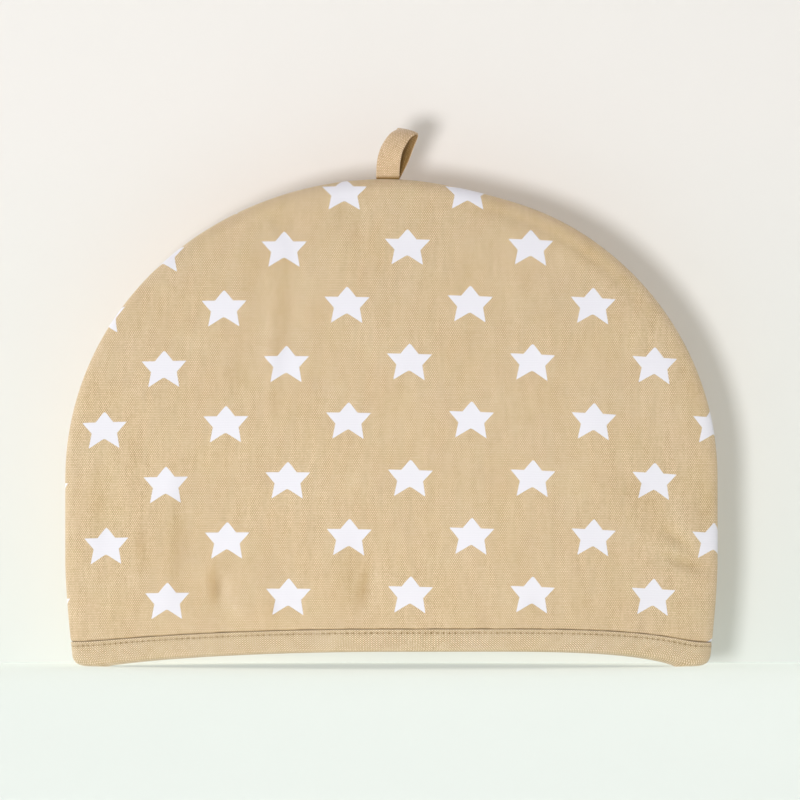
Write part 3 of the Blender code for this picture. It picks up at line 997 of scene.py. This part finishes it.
def tape_section(sewing):
    """The tape's section: a fold at its left edge, two layers side by side at its right."""
    half, thick = sewing.tape_width / 2, sewing.tape_cloth / 2
    fold = np.linspace(-np.pi / 2, np.pi / 2, FOLD_POINTS)
    left = np.stack([-half + thick - thick * np.cos(fold), thick * np.sin(fold)], axis=-1)
    edge = thick / 2  # radius of each layer's own edge
    right = np.stack([half - edge + edge * np.cos(fold), edge - edge * np.sin(fold)], axis=-1)
    flat = np.linspace(-half + 2 * thick, half - 2 * thick, FOLD_POINTS)
    top = np.stack([flat, 0 * flat + thick * TAPE_SPRING], axis=-1)
    return np.vstack([left, top, right, right[::-1] * (1, -1), top[::-1] * (1, -1)])


def make_loop(name, pattern, sewing, materials):
    """The hanging loop: a folded tape swept along its middle line."""
    places = np.linspace(0, len(LOOP_LINE) - 1, (len(LOOP_LINE) - 1) * LOOP_STEPS + 1)
    x, y, z, turn, drop = smooth_rows(LOOP_LINE, places).T
    middle = np.stack([LOOP_MIDDLE + x, y, pattern.height + z], axis=-1)
    along = unit(np.gradient(middle, axis=0))
    turn, drop = np.radians(turn), np.radians(drop)
    across = [np.cos(turn) * np.cos(drop), -np.sin(turn) * np.cos(drop), -np.sin(drop)]
    across = np.stack(across, axis=-1)
    across = unit(across - along * (across * along).sum(axis=1, keepdims=True))
    out = np.cross(along, across)
    section = tape_section(sewing)
    side = section[:, 0] / section[:, 0].max()
    bulge = LOOP_BULGE_OUT * (1 - ramp(side, 1) ** LOOP_BULGE_POWER)
    bulge = bulge - ramp(-side, 1) ** LOOP_BULGE_POWER
    rise = ramp(z, LOOP_BULGE_HIGH) ** 2
    depth = section[:, 1] - LOOP_BULGE * rise[:, None] * bulge
    points = middle[:, None] + across[:, None] * section[None, :, :1]
    points = points + out[:, None] * depth[..., None]
    round_it = run_along(np.vstack([section, section[:1]]))
    uvs = strip_uv(run_along(middle), round_it)
    # painted shade at the loop's root, where it goes into the seam, and on the tape's inner side
    above = (points[..., 2] - pattern.height) / LOOP_SHADE
    inner = ramp(section[:, 1], section[:, 1].max())
    shade = np.maximum(ramp(1 - above, 1), LOOP_INSIDE_SHADE * inner)
    return grid_mesh(name, points, uvs, materials, caps=[0, -1], shade=shade)


# ---------------------------------------------------------------- finishes


def add_node(tree, kind, inputs=None, **settings):
    """Adds a node; inputs gives each of its inputs a value or another node's output."""
    node = tree.nodes.new(kind)
    for name, value in settings.items():
        setattr(node, name, value)
    for key, value in (inputs or {}).items():
        if isinstance(value, bpy.types.NodeSocket):
            tree.links.new(value, node.inputs[key])
        else:
            node.inputs[key].default_value = value
    return node


def calc(tree, operation, *values):
    """The result of a Math node."""
    node = add_node(tree, "ShaderNodeMath", dict(enumerate(values)), operation=operation)
    return node.outputs[0]


def vector_calc(tree, operation, *values):
    """The result of a Vector Math node."""
    node = add_node(tree, "ShaderNodeVectorMath", dict(enumerate(values)), operation=operation)
    return node.outputs[0]


def joined(tree, x, y, z=0.0):
    """A vector made of three values."""
    return add_node(tree, "ShaderNodeCombineXYZ", {"X": x, "Y": y, "Z": z}).outputs[0]


def split(tree, vector):
    """A vector's three values."""
    return add_node(tree, "ShaderNodeSeparateXYZ", {0: vector}).outputs


def varied(tree, value, amount, base):
    """The base, raised by amount times as much as a value is over 0.5, its average."""
    return calc(tree, "MULTIPLY_ADD", calc(tree, "SUBTRACT", value, 0.5), amount, base)


def dyed(tree, colour, value, saturation=1.0, hue=0.5):
    """A colour made lighter, stronger or of another hue."""
    inputs = {"Hue": hue, "Saturation": saturation, "Value": value, "Color": colour}
    return add_node(tree, "ShaderNodeHueSaturation", inputs).outputs[0]


def mixed(tree, share, first, second):
    """A share of the second colour mixed into the first."""
    inputs = {0: share, 6: first, 7: second}  # 6 and 7 are the node's sockets for colours
    return add_node(tree, "ShaderNodeMix", inputs, data_type="RGBA").outputs[2]


def set_values(node, values):
    """Sets some of a node's inputs to values."""
    for name, value in values.items():
        node.inputs[name].default_value = value


def noise(tree, vector, scale, detail=3.0):
    """A Noise Texture's value, 0.5 on average."""
    inputs = {"Vector": vector, "Scale": scale, "Detail": detail}
    return add_node(tree, "ShaderNodeTexNoise", inputs).outputs["Fac"]


def stretched(tree, vector, x, y):
    """A vector scaled along x and y, so that noise made from it runs out into streaks."""
    return vector_calc(tree, "MULTIPLY", vector, (x, y, 1.0))


def new_group(name, takes, gives):
    """An empty shader node group, its input sockets and its output sockets."""
    tree = bpy.data.node_groups.new(name, "ShaderNodeTree")
    for in_out, sockets in (("INPUT", takes), ("OUTPUT", gives)):
        for socket, kind in sockets.items():
            tree.interface.new_socket(name=socket, in_out=in_out, socket_type=SOCKETS[kind])
    given = tree.nodes.new("NodeGroupInput").outputs
    result = tree.nodes.new("NodeGroupOutput").inputs
    return tree, given, result


def thread_round(tree, across):
    """How round threads stand: 0 between two of them, and 1 at the middle of each."""
    return calc(tree, "ABSOLUTE", calc(tree, "SINE", calc(tree, "MULTIPLY", across, math.pi)))


def thread_height(tree, round_it, along, index, phase):
    """One set of threads: round across, and up and down as it goes over and under."""
    turn = calc(tree, "ADD", calc(tree, "ADD", along, index), phase)
    turn = calc(tree, "MULTIPLY", turn, math.pi)
    over = calc(tree, "MULTIPLY_ADD", calc(tree, "SINE", turn), 0.5, 0.5)
    return calc(tree, "MULTIPLY", round_it, over)


def thread_tone(tree, index, along, seed, apart):
    """A tone of its own for each thread, which changes slowly along it; apart is how far the
    tones of two neighbours differ."""
    own = calc(tree, "MULTIPLY_ADD", index, apart, seed)
    slow = calc(tree, "MULTIPLY", along, TONE_CHANGES)
    return noise(tree, joined(tree, own, slow, seed), 1.0, detail=1.0)


def strayed(tree, cloth, pitches):
    """Places on the cloth in pitches of warp and weft, which stray as threads do."""
    upright = stretched(tree, cloth, 1.0, STRAY_LONG)
    level = stretched(tree, cloth, STRAY_LONG, 1.0)
    stray_x, stray_y = (noise(tree, way, STRAY_GRAIN) for way in (upright, level))
    stray = vector_calc(tree, "SUBTRACT", joined(tree, stray_x, stray_y, 0.5), (0.5, 0.5, 0.5))
    threads = vector_calc(tree, "DIVIDE", cloth, pitches)
    return vector_calc(tree, "MULTIPLY_ADD", stray, STRAY, threads)


def weave_group():
    """Dyed cloth in plain weave: its colour, with painted shade between its threads and painted
    light where the weft is on top, and the height of its threads from 0 to 1.
    """
    takes = {"Cloth": "vector", "Colour": "colour", "Warp pitch": "value", "Weft pitch": "value"}
    takes.update({name: "value" for name in WEAVE_COLUMNS})
    tree, given, result = new_group("Plain weave", takes, {"Colour": "colour", "Height": "value"})
    cloth = given["Cloth"]
    pitches = joined(tree, given["Warp pitch"], given["Weft pitch"], 1.0)
    x, y, _ = split(tree, strayed(tree, cloth, pitches))
    column, row = calc(tree, "FLOOR", x), calc(tree, "FLOOR", y)
    warp_round, weft_round = thread_round(tree, x), thread_round(tree, y)
    warp = thread_height(tree, warp_round, y, column, 0.0)
    weft = thread_height(tree, weft_round, x, row, 1.0)
    height = calc(tree, "MAXIMUM", warp, weft)
    weft_over = calc(tree, "GREATER_THAN", weft, warp)

    warp_tone = thread_tone(tree, column, y, *WARP_TONE)
    weft_tone = varied(tree, thread_tone(tree, row, x, *WEFT_TONE), WEFT_EVENER, 0.5)
    difference = calc(tree, "SUBTRACT", weft_tone, warp_tone)
    tone = calc(tree, "MULTIPLY_ADD", difference, weft_over, warp_tone)
    inputs = {"Vector": joined(tree, column, row)}
    speck = add_node(tree, "ShaderNodeTexWhiteNoise", inputs, noise_dimensions="2D")
    patches = noise(tree, cloth, PATCH_GRAIN)
    streaks = noise(tree, stretched(tree, cloth, 1.0, STREAK_LONG), STREAK_GRAIN)
    light = varied(tree, tone, given["Unevenness"], 1.0)
    light = varied(tree, speck.outputs["Value"], SPECKLE, light)
    # painted light: the weft is lighter where it lies on top
    light = varied(tree, weft_over, given["Over and under light"], light)
    light = varied(tree, patches, PATCHES, light)
    light = varied(tree, streaks, STREAKS, light)

    # painted shade in the gaps between threads, and painted light on their raised tops
    closed = calc(tree, "MULTIPLY", warp_round, weft_round)
    closed = calc(tree, "SUBTRACT", closed, MEAN_CLOSED)
    gaps = calc(tree, "MULTIPLY_ADD", closed, given["Gap shade"], 1.0)
    gaps = calc(tree, "MULTIPLY", gaps, calc(tree, "MULTIPLY_ADD", height, *THREAD_LIGHT))
    shade = calc(tree, "MULTIPLY", gaps, light)
    faded = calc(tree, "MULTIPLY_ADD", patches, -PATCH_FADES, SATURATION)
    saturation = calc(tree, "MULTIPLY_ADD", shade, -TONE_FADES, faded)
    drift = noise(tree, cloth, HUE_GRAIN, detail=2.0)
    hue = calc(tree, "MULTIPLY_ADD", drift, HUE_DRIFT, HUE)
    tree.links.new(dyed(tree, given["Colour"], shade, saturation, hue), result["Colour"])
    tree.links.new(height, result["Height"])
    return tree


def beyond(tree, x, y, start, end):
    """How far a place is to the left of the line from start to end."""
    line = Vector(end) - Vector(start)
    left = Vector((-line.y, line.x)).normalized()
    partly = calc(tree, "MULTIPLY_ADD", x, left.x, -left.dot(Vector(start)))
    return calc(tree, "MULTIPLY_ADD", y, left.y, partly)


def star_distance(tree, x, y):
    """How far outside a star a place is; negative inside. It is three kites and their mirror."""

    def edge(start, end):
        return beyond(tree, x, y, STAR[start], STAR[end])

    shoulder_ray, waist_ray = edge("middle", "shoulder"), edge("middle", "waist")
    below_shoulder = calc(tree, "SUBTRACT", shoulder_ray, STAR_OVERLAP)
    above_shoulder = calc(tree, "MULTIPLY_ADD", shoulder_ray, -1.0, -STAR_OVERLAP)
    below_waist = calc(tree, "SUBTRACT", waist_ray, STAR_OVERLAP)
    above_waist = calc(tree, "MULTIPLY_ADD", waist_ray, -1.0, -STAR_OVERLAP)
    head = calc(tree, "MAXIMUM", edge("tip", "shoulder"), above_shoulder)
    arm = calc(tree, "SMOOTH_MAX", edge("shoulder", "arm"), edge("arm", "waist"), STAR_TIP)
    arm = calc(tree, "MAXIMUM", calc(tree, "MAXIMUM", arm, below_shoulder), above_waist)
    leg = calc(tree, "SMOOTH_MAX", edge("waist", "foot"), edge("foot", "crotch"), STAR_TIP)
    leg = calc(tree, "MAXIMUM", leg, below_waist)
    return calc(tree, "MINIMUM", calc(tree, "MINIMUM", head, arm), leg)


def star_group():
    """Rows of stars, each second row moved by half a star, as a mask of the printed cloth."""
    takes = {name: "value" for name in STAR_PLACING}
    tree, given, result = new_group("Star print", {"Cloth": "vector", **takes}, {"Mask": "value"})
    x, z, _ = split(tree, given["Cloth"])
    off = calc(tree, "SUBTRACT", x, given["Droop middle"])
    fall = calc(tree, "MULTIPLY", calc(tree, "MULTIPLY", off, off), given["Droop"])
    up = calc(tree, "SUBTRACT", calc(tree, "ADD", z, fall), given["Star row"])
    row = calc(tree, "ROUND", calc(tree, "DIVIDE", up, given["Row pitch"]))
    y = calc(tree, "SUBTRACT", up, calc(tree, "MULTIPLY", row, given["Row pitch"]))
    odd = calc(tree, "MULTIPLY", calc(tree, "FLOORED_MODULO", row, 2.0), 0.5)
    columns = calc(tree, "SUBTRACT", x, given["Star column"])
    columns = calc(tree, "DIVIDE", columns, given["Star pitch"])
    columns = calc(tree, "SUBTRACT", columns, odd)
    across = calc(tree, "SUBTRACT", columns, calc(tree, "ROUND", columns))
    across = calc(tree, "MULTIPLY", across, given["Star pitch"])
    upright = calc(tree, "MULTIPLY_ADD", across, STAR_LEAN, y)
    across = calc(tree, "MULTIPLY_ADD", y, -STAR_LEAN, across)
    blunt = calc(tree, "MULTIPLY_ADD", across, across, STAR_BLUNT**2)
    distance = star_distance(tree, calc(tree, "SQRT", blunt), upright)
    ragged = noise(tree, given["Cloth"], STAR_GRAIN, detail=1.0)
    edge = varied(tree, ragged, STAR_RAGGED, distance)
    inputs = {"Value": edge, "From Min": -STAR_EDGE, "From Max": STAR_EDGE}
    inputs.update({"To Min": 1.0, "To Max": 0.0})
    mask = add_node(tree, "ShaderNodeMapRange", inputs, interpolation_type="SMOOTHSTEP")
    tree.links.new(mask.outputs[0], result["Mask"])
    return tree


def group_tree(name, maker):
    """A node group, made the first time that it is asked for."""
    return bpy.data.node_groups.get(name) or maker()


def new_material(name, roughness, specular):
    """A material, its node tree and its shader."""
    material = bpy.data.materials.new(name)
    material.use_nodes = True
    shader = material.node_tree.nodes["Principled BSDF"]
    set_values(shader, {"Roughness": roughness, "Specular IOR Level": specular})
    return material, material.node_tree, shader


def matt_material(name):
    """A matt cloth material, its node tree and its shader."""
    material, tree, shader = new_material(name, ROUGHNESS, SPECULAR)
    set_values(shader, {"Sheen Weight": SHEEN, "Sheen Roughness": SHEEN_ROUGHNESS})
    return material, tree, shader


def bumped(tree, shader, height, relief, strength):
    """Raises a material's surface by a height from 0 to 1."""
    inputs = {"Height": height, "Distance": relief, "Strength": strength}
    bump = add_node(tree, "ShaderNodeBump", inputs)
    tree.links.new(bump.outputs[0], shader.inputs["Normal"])


def with_painted_shade(tree, colour):
    """The colour with its painted shade: darker and warmer in seams, folds, needle holes and
    inside the loop.
    """
    depth = add_node(tree, "ShaderNodeAttribute", attribute_name="Painted shade").outputs["Fac"]
    light = calc(tree, "MULTIPLY_ADD", depth, -PAINTED_SHADE_DARK, 1.0)
    warmth = calc(tree, "MULTIPLY_ADD", depth, PAINTED_SHADE_WARMTH, 1.0)
    return dyed(tree, colour, light, warmth)


def woven(tree, shader, colour, pitches, looks, turn=0.0, stretch=(1.0, 1.0)):
    """Adds plain weave to a material; returns the weave's node and the cloth's vector."""
    cloth = add_node(tree, "ShaderNodeUVMap", uv_map="Cloth").outputs[0]
    placing = {"Vector": cloth, "Rotation": (0, 0, turn), "Scale": (*stretch, 1)}
    turned = add_node(tree, "ShaderNodeMapping", placing)
    weave = add_node(tree, "ShaderNodeGroup", node_tree=group_tree("Plain weave", weave_group))
    tree.links.new(turned.outputs[0], weave.inputs["Cloth"])
    set_values(weave, {"Colour": (*colour, 1), "Warp pitch": pitches[0], "Weft pitch": pitches[1]})
    set_values(weave, dict(zip(WEAVE_COLUMNS, looks)))
    tree.links.new(with_painted_shade(tree, weave.outputs["Colour"]), shader.inputs["Base Color"])
    bumped(tree, shader, weave.outputs["Height"], WEAVE_RELIEF, WEAVE_BUMP)
    return weave, cloth


def plain_cotton(name, cloth):
    material, tree, shader = matt_material(name)
    woven(tree, shader, cloth.lining, (cloth.warp_pitch, cloth.weft_pitch), PANEL_WEAVE)
    return material


def bias_tape(name, colour, cloth, looks):
    """A looser cotton, cut across its threads."""
    material, tree, shader = matt_material(name)
    woven(tree, shader, colour, (cloth.tape_pitch, cloth.tape_pitch), looks, BIAS, BIAS_STRETCH)
    return material


def printed_cotton(name, cloth):
    """The panels' cotton: stars printed on the weave."""
    material, tree, shader = matt_material(name)
    pitches = (cloth.warp_pitch, cloth.weft_pitch)
    weave, vector = woven(tree, shader, cloth.cotton, pitches, PANEL_WEAVE)
    stars = add_node(tree, "ShaderNodeGroup", node_tree=group_tree("Star print", star_group))
    tree.links.new(vector, stars.inputs["Cloth"])
    set_values(stars, {socket: getattr(cloth, size) for socket, size in STAR_PLACING.items()})
    # painted light and shade: the ink is lighter on the threads' tops and darker between them
    light = calc(tree, "MULTIPLY_ADD", weave.outputs["Height"], *INK_LIGHT)
    ink = dyed(tree, (*cloth.stars, 1), light)
    print_on = mixed(tree, stars.outputs["Mask"], weave.outputs["Colour"], ink)
    tree.links.new(with_painted_shade(tree, print_on), shader.inputs["Base Color"])
    return material


def sewing_thread(name, colour):
    """Two plies twisted together: the vector runs along the thread and round it, in metres."""
    material, tree, shader = matt_material(name)
    vector = add_node(tree, "ShaderNodeUVMap", uv_map="Cloth").outputs[0]
    run, around, _ = split(tree, vector)
    along = calc(tree, "MULTIPLY", run, 2 * math.pi / THREAD_PLY)
    twist = calc(tree, "MULTIPLY_ADD", around, 2 * math.pi / THREAD_ROUND, along)
    ply = calc(tree, "MULTIPLY_ADD", calc(tree, "SINE", twist), 0.5, 0.5)
    # painted shade: the thread is darker in the grooves between its plies
    light = calc(tree, "MULTIPLY_ADD", ply, *PLY_LIGHT)
    tree.links.new(dyed(tree, (*colour, 1), light), shader.inputs["Base Color"])
    bumped(tree, shader, ply, PLY_RELIEF, PLY_BUMP)
    return material


def one_sided_paper(name, foot, top):
    """A pale matt surface that doesn't show from behind; its colour changes with height: the
    backdrop is painted darker at its foot and paler above, to even out the light on it.
    """
    material, tree, shader = new_material(name, roughness=1.0, specular=0.0)
    height = split(tree, add_node(tree, "ShaderNodeTexCoord").outputs["Object"])["Z"]
    climbed = add_node(tree, "ShaderNodeMapRange", {"Value": height, "From Max": PAPER_FADES})
    tint = mixed(tree, climbed.outputs[0], (*foot, 1), (*top, 1))
    tree.links.new(tint, shader.inputs["Base Color"])
    clear = add_node(tree, "ShaderNodeBsdfTransparent")
    side = add_node(tree, "ShaderNodeNewGeometry").outputs["Backfacing"]
    inputs = {0: side, 1: shader.outputs[0], 2: clear.outputs[0]}
    mix = add_node(tree, "ShaderNodeMixShader", inputs)
    tree.links.new(mix.outputs[0], tree.nodes["Material Output"].inputs["Surface"])
    return material


# ---------------------------------------------------------------- floor, light and camera


def make_paper(studio):
    """A pale floor, bent up into a backdrop close behind the cosy."""
    r, y = studio.reach, studio.backdrop_y
    profile = [(-r, 0.0), (y, 0.0), (y, r)]
    points = [(x, *point) for point in profile for x in (-r, r)]
    mesh = bpy.data.meshes.new("Pale paper")
    mesh.from_pydata(points, [], [(0, 1, 3, 2), (2, 3, 5, 4)])
    for top, foot in ((studio.floor, studio.floor), (studio.backdrop, studio.backdrop_foot)):
        mesh.materials.append(one_sided_paper("Pale paper", foot, top))
    mesh.polygons[1].material_index = 1
    paper = added("Pale paper", mesh)
    paper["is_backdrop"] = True
    return paper


def towards(azimuth, elevation):
    """The direction at these angles, in degrees: azimuth 0 is towards the camera."""
    azimuth, elevation = math.radians(azimuth), math.radians(elevation)
    level = math.cos(elevation)
    return Vector((math.sin(azimuth) * level, -math.cos(azimuth) * level, math.sin(elevation)))


def make_lights(paper):
    """Area lights. The cosy alone throws shadows, and none from the light for the stage."""
    cosy = bpy.data.collections.new("Cosy")
    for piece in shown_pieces():
        cosy.objects.link(piece)
    ground = bpy.data.collections.new("Ground")
    ground.objects.link(paper)
    for lamp in rows_of(LIGHTS, LIGHT_COLUMNS):
        data = bpy.data.lights.new(lamp["name"], "AREA")
        data.shape = "DISK"
        data.size = lamp["size"]
        data.energy = lamp["share"] * (math.pi * lamp["distance"]) ** 2
        light = added(lamp["name"], data)
        away = towards(lamp["azimuth"], lamp["elevation"])
        light.location = Vector(AIM) + away * lamp["distance"]
        light.rotation_euler = away.to_track_quat("Z", "Y").to_euler()
        light.visible_camera = False
        only = {"all": None, "cosy": cosy, "stage": ground}[lamp["lights"]]
        light.light_linking.receiver_collection = only
        light.light_linking.blocker_collection = only or cosy


def make_sky(studio):
    world = bpy.data.worlds.new("Studio")
    world.use_nodes = True
    background = world.node_tree.nodes["Background"]
    set_values(background, {"Color": (1, 1, 1, 1), "Strength": studio.sky})
    bpy.context.scene.world = world


def make_camera(studio):
    data = bpy.data.cameras.new("Camera")
    data.sensor_width = SENSOR
    data.lens = SENSOR * studio.camera_distance / studio.view_width
    camera = added("Camera", data)
    camera.location = (studio.view_x, -studio.camera_distance, studio.view_z)
    camera.rotation_euler = (math.pi / 2, 0, 0)
    bpy.context.scene.camera = camera


# ---------------------------------------------------------------- operators and panel


class COSY_OT_sew_panels(Operator):
    """Sews the front and the back panel, padded and printed"""

    bl_idname = "cosy.sew_panels"
    bl_label = "Sew the panels"

    def execute(self, context):
        pattern, cloth = context.scene.cosy_pattern, context.scene.cosy_cloth
        cottons = [
            printed_cotton("Printed cotton", cloth),
            plain_cotton("Inner cotton", cloth),
        ]
        for side, facing in (("front", -1), ("back", 1)):
            panel = make_panel(f"padded_{side}", facing, pattern, cottons)
            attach(panel, "root")
            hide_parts(f"{side}_panel")
        return {"FINISHED"}


class COSY_OT_bind_hem(Operator):
    """Folds the bias binding round the open hem"""

    bl_idname = "cosy.bind_hem"
    bl_label = "Bind the hem"

    def execute(self, context):
        scene = context.scene
        cloth = scene.cosy_cloth
        tape = bias_tape("Bias tape", cloth.tape, cloth, TAPE_WEAVE)
        binding = make_binding("bias_binding", scene.cosy_pattern, scene.cosy_sewing, [tape])
        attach(binding, "root")
        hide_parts("hem_binding")
        return {"FINISHED"}


class COSY_OT_topstitch(Operator):
    """Topstitches the binding, outside and inside"""

    bl_idname = "cosy.topstitch"
    bl_label = "Topstitch the binding"

    def execute(self, context):
        scene = context.scene
        thread = sewing_thread("Sewing thread", scene.cosy_cloth.thread)
        stitches = make_topstitch("topstitch", scene.cosy_pattern, scene.cosy_sewing, [thread])
        stitches.parent = bpy.data.objects["bias_binding"]
        return {"FINISHED"}


class COSY_OT_make_loop(Operator):
    """Folds the hanging loop and sets it in the crown seam"""

    bl_idname = "cosy.make_loop"
    bl_label = "Make the loop"

    def execute(self, context):
        scene = context.scene
        cloth = scene.cosy_cloth
        tape = bias_tape("Loop tape", cloth.loop, cloth, LOOP_WEAVE)
        loop = make_loop("loop_tape", scene.cosy_pattern, scene.cosy_sewing, [tape])
        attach(loop, "root")
        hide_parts("hanging_loop")
        return {"FINISHED"}


class COSY_OT_set_stage(Operator):
    """Sets a pale floor and backdrop, soft light and the camera"""

    bl_idname = "cosy.set_stage"
    bl_label = "Set the stage"

    def execute(self, context):
        studio = context.scene.cosy_studio
        make_lights(make_paper(studio))
        make_sky(studio)
        make_camera(studio)
        context.scene.view_settings.view_transform = "Standard"
        return {"FINISHED"}


GROUPS = {
    "cosy_pattern": CosyPattern,
    "cosy_sewing": CosySewing,
    "cosy_cloth": CosyCloth,
    "cosy_studio": CosyStudio,
}
STEPS = (
    COSY_OT_sew_panels,
    COSY_OT_bind_hem,
    COSY_OT_topstitch,
    COSY_OT_make_loop,
    COSY_OT_set_stage,
)


class COSY_PT_pattern(Panel):
    """Sizes, colours and the steps of making the cosy"""

    bl_label = "Tea cosy"
    bl_idname = "COSY_PT_pattern"
    bl_space_type = "VIEW_3D"
    bl_region_type = "UI"
    bl_category = "Tea cosy"

    def draw(self, context):
        for name, group in GROUPS.items():
            box = self.layout.box()
            box.label(text=group.__doc__)
            for size in group.__annotations__:
                box.prop(getattr(context.scene, name), size)
        for step in STEPS:
            self.layout.operator(step.bl_idname)


def register():
    for cls in (*GROUPS.values(), *STEPS, COSY_PT_pattern):
        bpy.utils.register_class(cls)
    for name, group in GROUPS.items():
        setattr(bpy.types.Scene, name, PointerProperty(type=group))


def unregister():
    for name in GROUPS:
        delattr(bpy.types.Scene, name)
    for cls in reversed((*GROUPS.values(), *STEPS, COSY_PT_pattern)):
        bpy.utils.unregister_class(cls)


def main():
    register()
    bpy.ops.cosy.sew_panels()
    bpy.ops.cosy.bind_hem()
    bpy.ops.cosy.topstitch()
    bpy.ops.cosy.make_loop()
    bpy.ops.cosy.set_stage()


if __name__ == "__main__":
    main()
